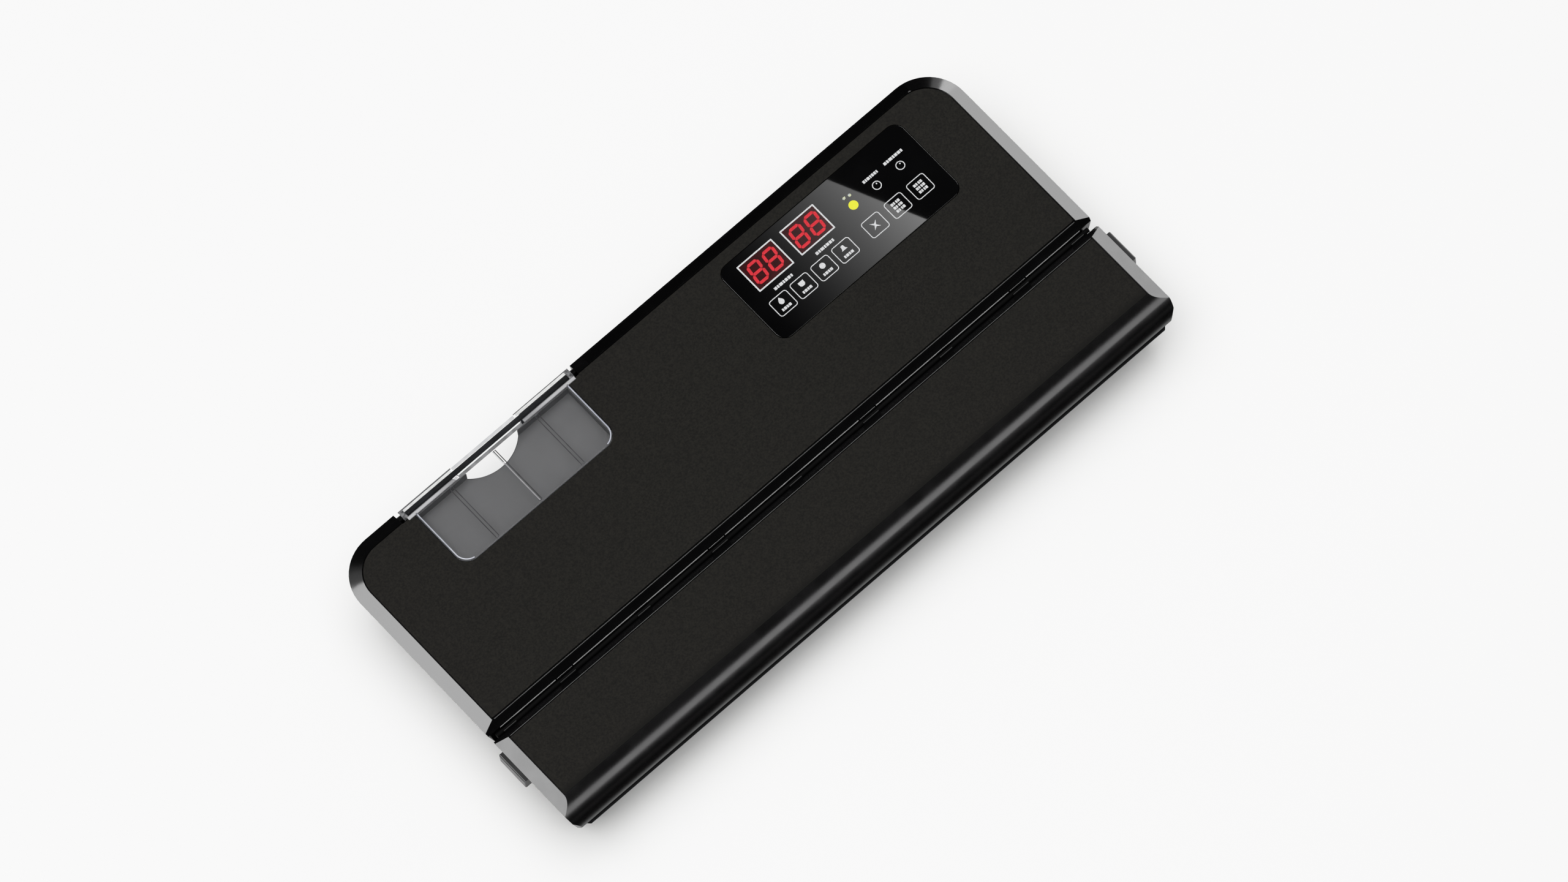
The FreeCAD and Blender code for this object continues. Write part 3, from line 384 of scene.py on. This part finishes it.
# ---------------------------------------------------------------- panel print
class Print:
    """Flat marks in one mesh, raised a hair above the touch panel or at another height; lengths in mm."""

    def __init__(self, height=PRINT_Z):
        self.bm = bmesh.new()
        self.height = height

    def plate(self, points, low=0.0, high=PRINT_T):
        """Solid plate over a closed (x, y) outline."""
        bottom = [self.bm.verts.new((x * MM, y * MM, self.height + low)) for x, y in points]
        top = [self.bm.verts.new((x * MM, y * MM, self.height + high)) for x, y in points]
        self.bm.faces.new(top)
        self.bm.faces.new(bottom[::-1])
        for i in range(len(points)):
            j = (i + 1) % len(points)
            self.bm.faces.new((bottom[i], bottom[j], top[j], top[i]))

    def band(self, outer, inner, low=0.0, high=PRINT_T):
        """Ring between two outlines with the same number of points."""
        rows = [[self.bm.verts.new((x * MM, y * MM, self.height + z)) for x, y in line]
                for line, z in ((outer, low), (outer, high), (inner, high), (inner, low))]
        n = len(outer)
        for a, b in zip(rows, rows[1:] + rows[:1]):
            for i in range(n):
                j = (i + 1) % n
                self.bm.faces.new((a[i], a[j], b[j], b[i]))

    def finish(self, name, body, material):
        bmesh.ops.recalc_face_normals(self.bm, faces=self.bm.faces)
        mesh = bpy.data.meshes.new(name)
        self.bm.to_mesh(mesh)
        self.bm.free()
        return add_piece(name, mesh, body, material)


def rounded(cx, cy, w, h, r, steps=5):
    """Outline of a rectangle with round corners."""
    points = []
    for quarter in range(4):
        sx, sy = ((1, 1), (-1, 1), (-1, -1), (1, -1))[quarter]
        for k in range(steps + 1):
            a = math.radians(90.0 * (quarter + k / steps))
            points.append((cx + sx * (w / 2 - r) + r * math.cos(a), cy + sy * (h / 2 - r) + r * math.sin(a)))
    return points


def circle(cx, cy, r, n=32):
    turn = [2 * math.pi * k / n for k in range(n)]
    return [(cx + r * math.cos(a), cy + r * math.sin(a)) for a in turn]


def frame_line(ink, cx, cy, w, h, r, line):
    ink.band(rounded(cx, cy, w, h, r), rounded(cx, cy, w - 2 * line, h - 2 * line, max(0.05, r - line)))


def dashes(ink, x0, x1, cy, h, widths, gap=0.35):
    """Row of plain dashes that stands where a caption is printed."""
    share = (x1 - x0 - gap * (len(widths) - 1)) / sum(widths)
    x = x0
    for w in widths:
        ink.plate(rounded(x + w * share / 2, cy, w * share, h, 0.12, 2))
        x += w * share + gap


KEY_W, KEY_H, KEY_R, KEY_LINE = 11.4, 10.6, 1.6, 0.42
KEY_Y = 43.0
KEY_X = (57.7, 71.4, 85.2, 99.1, 119.0, 134.2, 149.2)
WINDOWS = ((53.2, 76.2, 55.4, 73.2), (81.4, 103.7, 55.6, 72.9))
WINDOW_LINE = 0.75
CAPTIONS = ((59.4, 71.2, 51.5), (87.0, 98.7, 51.5), (129.6, 139.1, 64.0), (143.7, 155.7, 64.2))
RINGS = ((133.8, 58.3), (149.5, 58.3))
LENS_AT = (118.2, 58.4)
LENS_R = 2.5
LEAF_AT = (117.2, 64.3)             # the two pale marks behind the lens
DOT_AT = (120.3, 63.7)


def key_marks(ink):
    for x in KEY_X:
        frame_line(ink, x, KEY_Y, KEY_W, KEY_H, KEY_R, KEY_LINE)
    drop = [(0.0, 2.3), (-1.3, 0.5), (-1.55, -0.6), (-0.9, -1.6), (0.0, -1.9), (0.9, -1.6), (1.55, -0.6),
            (1.3, 0.5)]
    cup = [(-1.7, 1.3), (1.7, 1.3), (1.5, -0.9), (0.8, -1.5), (-0.8, -1.5), (-1.5, -0.9)]
    bell = [(-0.7, 1.5), (0.7, 1.5), (1.1, -0.5), (1.8, -1.2), (-1.8, -1.2), (-1.1, -0.5)]
    icons = (drop, cup, circle(0.0, 0.0, 1.6, 20), bell)
    for x, icon in zip(KEY_X, icons):
        ink.plate([(x + px, KEY_Y + 1.7 + py) for px, py in icon])
        dashes(ink, x - 2.9, x + 2.9, KEY_Y - 2.6, 1.5, (2, 3, 2, 3), 0.3)
    x = KEY_X[4]
    ink.plate([(x - 2.0, KEY_Y + 2.2), (x - 0.5, KEY_Y), (x - 2.0, KEY_Y - 2.2), (x, KEY_Y - 0.9),
               (x + 2.0, KEY_Y - 2.2), (x + 0.5, KEY_Y), (x + 2.0, KEY_Y + 2.2), (x, KEY_Y + 0.9)])
    for x in KEY_X[5:]:
        for row in (-2.2, 0.0, 2.2):
            dashes(ink, x - 2.7, x - 0.3, KEY_Y + row, 1.5, (3, 2), 0.25)
            dashes(ink, x + 0.3, x + 2.7, KEY_Y + row, 1.5, (2, 3), 0.25)


def white_print():
    ink = Print()
    for x0, x1, y0, y1 in WINDOWS:
        frame_line(ink, (x0 + x1) / 2, (y0 + y1) / 2, x1 - x0, y1 - y0, 0.3, WINDOW_LINE)
    key_marks(ink)
    for x0, x1, y in CAPTIONS:
        dashes(ink, x0, x1, y, 1.6, (3, 2, 4, 2, 3, 3, 2))
    for x, y in RINGS:
        ink.band(circle(x, y, 2.45), circle(x, y, 2.0))
        ink.plate(circle(x + 0.5, y + 0.9, 0.4, 12))
    ink.finish("panel_print", "base", printed_ink())


def printed_ink():
    s = Surface("print_white", (0.43, 0.43, 0.44), 0.5, 0.2)
    s.tint(s.noise(0.5 * MM, 2.0), (0.34, 0.345, 0.355), (0.48, 0.485, 0.49))
    s.bump(s.noise(0.3 * MM, 2.0), 0.002 * MM)
    return s.material


DIGIT_W, DIGIT_H = 6.3, 10.9
STROKE = 1.6
SLANT = 0.12
SEGMENT_GAP = 0.16


def segment(cx, cy, length, upright):
    """Six-sided bar of a digit."""
    a, b = length / 2 - SEGMENT_GAP, STROKE / 2
    bar = [(-a, 0), (-a + b, b), (a - b, b), (a, 0), (a - b, -b), (-a + b, -b)]
    if upright:
        bar = [(y, x) for x, y in bar][::-1]
    return [(cx + x, cy + y) for x, y in bar]


def digit_segments():
    half = DIGIT_H / 2
    bars = [segment(0, y, DIGIT_W, False) for y in (-half, 0, half)]
    bars += [segment(x, y, half, True) for x in (-DIGIT_W / 2, DIGIT_W / 2) for y in (-half / 2, half / 2)]
    return bars


def displays(materials):
    glass = Print()
    lit = Print()
    for x0, x1, y0, y1 in WINDOWS:
        cx, cy = (x0 + x1) / 2, (y0 + y1) / 2
        glass.plate(rounded(cx, cy, x1 - x0 - 2 * WINDOW_LINE, y1 - y0 - 2 * WINDOW_LINE, 0.2, 2),
                    0.0, PRINT_T * 0.3)
        for dx in (-5.0, 5.0):
            for bar in digit_segments():
                lit.plate([(cx + dx + x + SLANT * y, cy + y) for x, y in bar], PRINT_T * 0.3, PRINT_T)
    glass.finish("display_windows", "base", window_tint())
    digits = lit.finish("display_digits", "base", materials["display_red"])


def window_tint():
    """Dark red filter of the displays, with a faint glow of its own."""
    s = moulded("window_tint", (0.004, 0.002, 0.002), 0.12, 1.0 * MM, 0.0004 * MM, 0.3)
    level = s.ramp(s.noise(3.0 * MM, 2.0), 0.3, 0.7, 0.0, 1.0)
    glow = s.mix(level, (0.024, 0.0036, 0.0042), (0.040, 0.005, 0.006))
    s.link(glow, s.shader.inputs["Emission Color"])
    s.set("Emission Strength", 1.0)
    return s.material


def indicator(materials):
    lens = Print()
    lens.plate(circle(*LENS_AT, LENS_R))
    lens.finish("status_lens", "base", materials["led_yellow"])
    marks = Print()
    leaf = [(-1.1, 0.0), (-0.3, 0.7), (0.9, 0.6), (0.6, -0.5), (-0.4, -0.8)]
    marks.plate([(LEAF_AT[0] + x, LEAF_AT[1] + y) for x, y in leaf])
    marks.plate(circle(*DOT_AT, 0.85, 12))
    pale = Surface("mark_pale", (0.3, 0.33, 0.28), 0.5)
    pale.tint(pale.noise(1.5 * MM, 2.0), (0.25, 0.28, 0.30), (0.38, 0.40, 0.22))
    marks.finish("status_marks", "base", pale.material)


# ---------------------------------------------------------------- painted highlights and painted dark lines inside the clear cover
COVER_LOW, COVER_HIGH = (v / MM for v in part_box("clear_cover"))
PLATE_X = (-149.8, -49.0)           # sides of the clear plate
PLATE_FRONT_Y = COVER_LOW.y
PLATE_R = 8.0
IN_PLATE_Z = COVER_HIGH.z - 0.1     # just under the plate's top
RIB_Z = COVER_HIGH.z - 1.35
LIP_Z = 48.6
RIM_Z = 47.6
OUTER_LOOPS = ((COVER_LOW.x, -121.0), (-79.5, COVER_HIGH.x))
MIDDLE_LOOP = (-121.0, -79.5)
BEND_Y = (82.7, 85.6)               # from front to rear: the bend, the lip and the rim of the outer loops
LIP_Y = (88.9, 90.2)
RIM_Y = (90.6, 91.2)
RIM_T = 0.5
CAP_Y = (85.0, 90.7)                # ends of the outer loops
CAP_W = 2.6
RIGHT_SHIFT = 0.35                  # the right-hand loop stands this much further back
MIDDLE_LIP_Y = (89.05, 90.7)
BAR_Y = (82.9, 84.7)
RIB_AT = (-127.4, -71.1)            # the two outer ribs
RIB_HALF = 0.9
RIB_LINE_HALF = 0.24
RIB_START_Y = PLATE_FRONT_Y + 1.6
NOTCH_AT = (-100.2, 99.9)           # centre of the thumb notch
NOTCH_LINE_R = (23.75, 24.1)


def strip(ink, x0, x1, y0, y1, high=PRINT_T):
    ink.plate([(x0, y0), (x1, y0), (x1, y1), (x0, y1)], 0.0, high)


def tone(name, low, high, size=4 * MM, roughness=0.4):
    """Plain tone that wanders between two greys; most strips that wear it are painted highlights and painted
    dark lines.
    """
    s = Surface(name, high, roughness, 0.3)
    s.tint(s.noise(size, 3.0), low, high)
    s.bump(s.noise(0.6 * MM, 2.0), 0.002 * MM)
    return s


def plate_edge(ink, side, near, far, top_y):
    """Painted highlight line along one side of the clear plate and round its front corner, between two
    insets.
    """
    centre_x = PLATE_X[0] + PLATE_R if side < 0 else PLATE_X[1] - PLATE_R
    centre_y = PLATE_FRONT_Y + PLATE_R
    lines = []
    for inset in (near, far):
        r = PLATE_R - inset
        arc = [math.radians(5.0 + 7.5 * k) for k in range(11)]
        line = [(centre_x + side * r, top_y)]
        line += [(centre_x + side * r * math.cos(a), centre_y - r * math.sin(a)) for a in arc]
        lines.append(line)
    ink.plate(lines[0] + lines[1][::-1])


def bend_highlight():
    """Whitish band where the clear plate curls up to its loops, a painted highlight of light caught in the
    bend.
    """
    s = Surface("cover_bend", (0.30, 0.30, 0.31), 0.3, 0.3)
    place = s.split(s.place)
    from_middle = s.math("ABSOLUTE", s.math("SUBTRACT", place["X"], sum(PLATE_X) / 2.0 * MM))
    level = s.ramp(from_middle, 24.0 * MM, 41.0 * MM, 0.5, 1.0)
    wander = s.ramp(s.noise(16 * MM, 2.0), 0.35, 0.65, 0.88, 1.0)
    soft = s.band(place["Y"], 83.9 * MM, 84.8 * MM, 0.7 * MM, 0.95)
    s.link(s.math("MULTIPLY", soft, s.math("MULTIPLY", level, wander)), s.shader.inputs["Alpha"])
    return s.material


# Painted highlights and painted dark lines of the clear loops, the middle bar and the lip: light and dark
# that the clear plastic mirrors and bends, laid on as grey strips.
def cover_highlights():
    bend = Print(IN_PLATE_Z * MM)
    lip = Print(LIP_Z * MM)
    rim = Print(RIM_Z * MM)
    ends = Print((LIP_Z + 0.4) * MM)
    for side, (x0, x1) in zip((-1, 1), OUTER_LOOPS):
        shift = RIGHT_SHIFT if side > 0 else 0.0
        strip(bend, x0 + 1.5, x1 - 0.5, *BEND_Y)
        strip(lip, x0 + 0.8, x1 - 0.6, LIP_Y[0] + shift, LIP_Y[1] + shift)
        strip(rim, x0 + 0.2, x1 + 0.2, RIM_Y[0] + shift, RIM_Y[1] + shift / 4.0, RIM_T * MM)
        cap_x = x0 if side < 0 else x1 - CAP_W
        strip(ends, cap_x, cap_x + CAP_W, *CAP_Y)
    bright = tone("cover_bright", (0.38, 0.38, 0.38), (0.50, 0.50, 0.50))
    dim = tone("cover_rim", (0.045, 0.045, 0.047), (0.085, 0.085, 0.09))
    cap = tone("cover_end", (0.015, 0.015, 0.016), (0.11, 0.11, 0.115), 1.6 * MM)
    bend.finish("cover_bend", "pocket_cover", bend_highlight())
    lip.finish("cover_lip", "pocket_cover", bright.material)
    rim.finish("cover_rim", "pocket_cover", dim.material)
    ends.finish("cover_ends", "pocket_cover", cap.material)

    middle = Print(LIP_Z * MM)
    strip(middle, MIDDLE_LOOP[0] + 0.4, MIDDLE_LOOP[1] - 0.4, *MIDDLE_LIP_Y)
    pale = tone("cover_pale", (0.33, 0.33, 0.34), (0.42, 0.42, 0.43))
    middle.finish("cover_middle_lip", "pocket_cover", pale.material)
    bar = Print(IN_PLATE_Z * MM)
    strip(bar, *MIDDLE_LOOP, *BAR_Y)
    tick_y = BAR_Y[1] + 0.7
    for x in MIDDLE_LOOP:
        bar.plate([(x - 0.3, tick_y), (x + 0.3, tick_y), (x + 0.3, BAR_Y[1]), (x - 0.3, BAR_Y[1])])
    grey = tone("cover_grey", (0.075, 0.075, 0.077), (0.13, 0.13, 0.135))
    bar.finish("cover_bar", "pocket_cover", grey.material)

    edges = Print(IN_PLATE_Z * MM)
    plate_edge(edges, -1, 0.45, 1.05, 84.0)
    plate_edge(edges, 1, 0.25, 0.85, 84.0)
    edges.finish("cover_edges", "pocket_cover",
                 tone("cover_edge", (0.22, 0.23, 0.27), (0.34, 0.35, 0.39), 9 * MM).material)


def rib_lines():
    """Painted dark lines along both flanks of each clear rib and a painted pale core in the middle one,
    standing for light that the ribs bend.
    """
    dark = Print(RIB_Z * MM)
    for x in RIB_AT:
        for line_x in (x - RIB_HALF, x + RIB_HALF):
            strip(dark, line_x - RIB_LINE_HALF, line_x + RIB_LINE_HALF, RIB_START_Y, 82.6)
    strip(dark, -98.5, -98.0, RIB_START_Y, 83.0)
    strip(dark, -99.6, -99.1, 75.0, 83.0)
    dark_tone = tone("rib_dark", (0.010, 0.010, 0.010), (0.020, 0.020, 0.021))
    dark.finish("cover_rib_lines", "pocket_cover", dark_tone.material)
    pale = Print(RIB_Z * MM)
    strip(pale, -99.6, -99.05, RIB_START_Y, 74.6)
    pale_tone = tone("rib_pale", (0.14, 0.14, 0.145), (0.19, 0.19, 0.195))
    pale.finish("cover_rib_core", "pocket_cover", pale_tone.material)


def notch_line():
    """Dark edge of the liner's floor round the thumb notch."""
    floor_z = (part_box("pocket_liner")[0].z / MM) + 0.62
    arc = [math.radians(-138.0 + 4.0 * k) for k in range(25)]
    x, y = NOTCH_AT
    ring = [[(x + r * math.cos(a), y + r * math.sin(a)) for a in arc] for r in NOTCH_LINE_R]
    ink = Print(floor_z * MM)
    ink.plate(ring[0] + ring[1][::-1])
    ink.finish("notch_line", "base", tone("notch_dark", (0.012, 0.012, 0.012), (0.03, 0.03, 0.03)).material)


# ---------------------------------------------------------------- painted highlights along the edges of the hinge groove
KNUCKLE_X = (-150.0, -50.0, 50.0, 150.0)      # the lid's loops, which carry their own part of the line
KNUCKLE_HALF = 5.0
KNUCKLE_SPACE = 5.8
INNER_LINE_Z = 45.75
INNER_LINE_Y = (-27.62, -27.2)                # on the rear cover's front wall
LOOP_LINE_Y = (-27.62, -27.36)                # on the lid's loops
REAR_EDGE_Z = 49.88
REAR_EDGE_Y = (-23.62, -23.32)
FRONT_EDGE_Y = (-35.62, -35.35)


def highlight_strip(ink, x0, x1, across, low, high=0.0):
    """Thin raised strip along X, laid on as a painted highlight."""
    y0, y1 = across
    ink.plate([(x0, y0), (x1, y0), (x1, y1), (x0, y1)], low, high)


def groove_highlights():
    """Thin raised strips along the groove, painted highlights of its rounded edges: at its bottom, and at
    both of its upper edges.
    """
    pale = tone("groove_highlight_pale", (0.10, 0.10, 0.10), (0.14, 0.14, 0.14)).material
    inner = Print(INNER_LINE_Z * MM)
    on_loops = Print(INNER_LINE_Z * MM)
    start = -GROOVE_END
    for x in KNUCKLE_X:
        highlight_strip(inner, start, x - KNUCKLE_SPACE, INNER_LINE_Y, -0.4 * MM)
        highlight_strip(on_loops, x - KNUCKLE_HALF, x + KNUCKLE_HALF, LOOP_LINE_Y, -0.3 * MM)
        start = x + KNUCKLE_SPACE
    highlight_strip(inner, start, GROOVE_END, INNER_LINE_Y, -0.4 * MM)
    inner.finish("groove_inner_highlight", "base", pale)
    on_loops.finish("groove_loop_highlights", "lid", pale)

    edge = tone("groove_edge_highlight", (0.036, 0.036, 0.036), (0.050, 0.050, 0.050)).material
    rear = Print(REAR_EDGE_Z * MM)
    highlight_strip(rear, -GROOVE_END, GROOVE_END, REAR_EDGE_Y, -0.4 * MM)
    rear.finish("groove_rear_highlight", "base", edge)
    front = Print(TOP_Z)
    highlight_strip(front, -GROOVE_END, GROOVE_END, FRONT_EDGE_Y, -0.1 * MM, PRINT_T)
    front.finish("groove_front_highlight", "lid", edge)


# ---------------------------------------------------------------- light, floor, backdrop
def aim(obj, position, target):
    obj.location = position
    obj.rotation_euler = (Vector(target) - Vector(position)).to_track_quat("-Z", "Y").to_euler()


def soft_light(name, toward, distance, size, radiance, glossy):
    """Rectangular softbox, seen either only in mirrors or only by matte surfaces.

    It stands in the direction toward, and faces the object."""
    data = bpy.data.lights.new(name, "AREA")
    data.shape = "RECTANGLE"
    data.size, data.size_y = size
    data.energy = radiance * math.pi * size[0] * size[1]
    lamp = bpy.data.objects.new(name, data)
    bpy.context.collection.objects.link(lamp)
    aim(lamp, Vector(toward).normalized() * distance, (0, 0, 0))
    lamp.visible_camera = False
    lamp.visible_diffuse = not glossy
    lamp.visible_glossy = glossy


CARD_HEIGHT = 0.45                  # metres above the touch panel
CARD_OUTLINE = ((40.0, 25.0), (140.65, 25.0), (116.8, 80.0), (40.0, 80.0))     # where the panel mirrors it
CARD_FADE = (40.0, 100.0)           # the glow rises from this x, over this length
CARD_GLOW = 4.7


def panel_card():
    """Wedge of light that only the touch panel mirrors to the camera, brighter towards its long edge."""
    up = VIEW_DISTANCE * math.sin(VIEW_ELEVATION) + VIEW_TARGET.z - PRINT_Z
    lens = VIEW_TARGET + toward_camera() * VIEW_DISTANCE
    grow = 1.0 + CARD_HEIGHT / up
    bm = bmesh.new()
    bm.faces.new([bm.verts.new((x * MM, y * MM, 0.0)) for x, y in CARD_OUTLINE])
    mesh = bpy.data.meshes.new("panel_card")
    bm.to_mesh(mesh)
    bm.free()
    card = bpy.data.objects.new("panel_card", mesh)
    bpy.context.collection.objects.link(card)
    card.scale = (grow, grow, 1.0)
    card.location = (lens.x * (1.0 - grow), lens.y * (1.0 - grow), PRINT_Z + CARD_HEIGHT)
    s = Surface("panel_card", (0.0, 0.0, 0.0), 1.0, 0.0)
    start, length = CARD_FADE
    along = s.math("DIVIDE", s.math("SUBTRACT", s.split(s.place)["X"], start * MM), length * MM)
    glow = s.math("MULTIPLY", s.math("POWER", s.math("MAXIMUM", along, 0.0), 2.6), CARD_GLOW)
    s.link(glow, s.shader.inputs["Emission Strength"])
    s.set("Emission Color", (1.0, 1.0, 1.0, 1.0))
    mesh.materials.append(s.material)
    for kind in ("camera", "diffuse", "transmission", "shadow", "volume_scatter"):
        setattr(card, "visible_" + kind, False)


def add_floor():
    """Pale table top; in mirrors it is bright only near the machine, as on a small white sweep."""
    half = 30.0
    bm = bmesh.new()
    corners = [bm.verts.new((x * half, y * half, 0.0)) for x, y in ((-1, -1), (1, -1), (1, 1), (-1, 1))]
    bm.faces.new(corners)
    mesh = bpy.data.meshes.new("floor")
    bm.to_mesh(mesh)
    bm.free()
    floor = bpy.data.objects.new("floor", mesh)
    bpy.context.collection.objects.link(floor)
    s = Surface("floor_pale", (0.85, 0.85, 0.85), 0.9, 0.0)
    pale = s.tint(s.noise(0.35, 3.0), (0.845, 0.845, 0.84), (0.853, 0.853, 0.85))
    mirrored = s.node("ShaderNodeLightPath").outputs["Is Glossy Ray"]
    near = s.ramp(s.split(s.place)["Y"], -0.15, -0.09, 0.01, 0.8)
    level = s.math("ADD", s.math("SUBTRACT", 1.0, mirrored), s.math("MULTIPLY", mirrored, near))
    s.link(s.mix(level, (0.0, 0.0, 0.0), pale), s.shader.inputs["Base Color"])
    mesh.materials.append(s.material)


def add_world():
    """Even soft room; in mirrors it falls from grey at the horizon to almost black overhead."""
    world = bpy.data.worlds.new("studio")
    bpy.context.scene.world = world
    world.use_nodes = True
    tree = world.node_tree
    background = tree.nodes["Background"]
    background.inputs["Color"].default_value = (1.0, 1.0, 0.99, 1.0)
    path = tree.nodes.new("ShaderNodeLightPath")
    place = tree.nodes.new("ShaderNodeTexCoord")
    split = tree.nodes.new("ShaderNodeSeparateXYZ")
    tree.links.new(place.outputs["Generated"], split.inputs[0])
    low = tree.nodes.new("ShaderNodeMapRange")
    low.interpolation_type = "SMOOTHSTEP"
    for name, value in (("From Min", 0.0), ("From Max", 0.16), ("To Min", 0.30), ("To Max", 0.012)):
        low.inputs[name].default_value = value
    tree.links.new(split.outputs["Z"], low.inputs["Value"])
    choose = tree.nodes.new("ShaderNodeMix")
    choose.data_type = "FLOAT"
    choose.inputs["A"].default_value = 0.62
    tree.links.new(path.outputs["Is Glossy Ray"], choose.inputs["Factor"])
    tree.links.new(low.outputs["Result"], choose.inputs["B"])
    tree.links.new(choose.outputs["Result"], background.inputs["Strength"])


def add_lights():
    soft_light("overhead", (-0.10, 0.06, 1.0), 2.0, (2.2, 2.2), 4.2, False)
    soft_light("left_card", (-0.47, 0.28, 0.83), 2.2, (1.1, 1.1), 10.0, True)
    soft_light("right_card", (0.77, 0.31, 0.56), 2.2, (1.1, 1.1), 8.0, True)
    soft_light("left_fade", (-0.34, 0.60, 0.72), 2.2, (0.7, 0.7), 1.0, True)
    soft_light("right_fade", (0.70, 0.52, 0.49), 2.2, (0.6, 0.6), 1.5, True)
    soft_light("front_card", (0.20, -0.64, 0.72), 2.2, (1.6, 1.0), 3.8, True)
    panel_card()


def set_film():
    """Plain display transform with a soft shoulder, so that the bright table stays just under white."""
    settings = bpy.context.scene.view_settings
    settings.view_transform = "Standard"
    settings.look = "None"
    settings.use_curve_mapping = True
    mapping = settings.curve_mapping
    mapping.clip_max_x = 4.0
    curve = mapping.curves[3]
    curve.points[-1].location = (1.0, 0.83)
    for x, y in ((0.45, 0.45), (0.75, 0.70), (1.3, 0.92), (1.6, 0.953), (3.0, 0.975)):
        curve.points.new(x, y)
    mapping.update()


# ---------------------------------------------------------------- put it together
set_film()
add_camera()
MATERIALS = build_materials()
for node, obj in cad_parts.items():
    for slot in obj.material_slots:
        key = "plate_matte_black_lid_front_shade" if node == "lid_top_panel" else slot.material.name.split(".")[0]
        slot.material = MATERIALS[key]

soften("base_tray", "base", MATERIALS["case_gloss_black"], 0.3 * MM)
soften("rear_cover", "base", MATERIALS["case_gloss_black"], 0.35 * MM)
soften("lid_shell", "lid", MATERIALS["lid_gloss_black"], 0.35 * MM)
soften("touch_panel", "base", MATERIALS["panel_gloss_black"], 0.2 * MM, 0.0)
soften("rear_top_panel", "base", MATERIALS["plate_matte_black"], 0.2 * MM, 0.0, 0.0)
soften("lid_top_panel", "lid", MATERIALS["plate_matte_black_lid_front_shade"], 0.2 * MM, 0.0, 0.0)
button_springs()
white_print()
displays(MATERIALS)
indicator(MATERIALS)
cover_highlights()
rib_lines()
notch_line()
groove_highlights()
add_floor()
add_world()
add_lights()
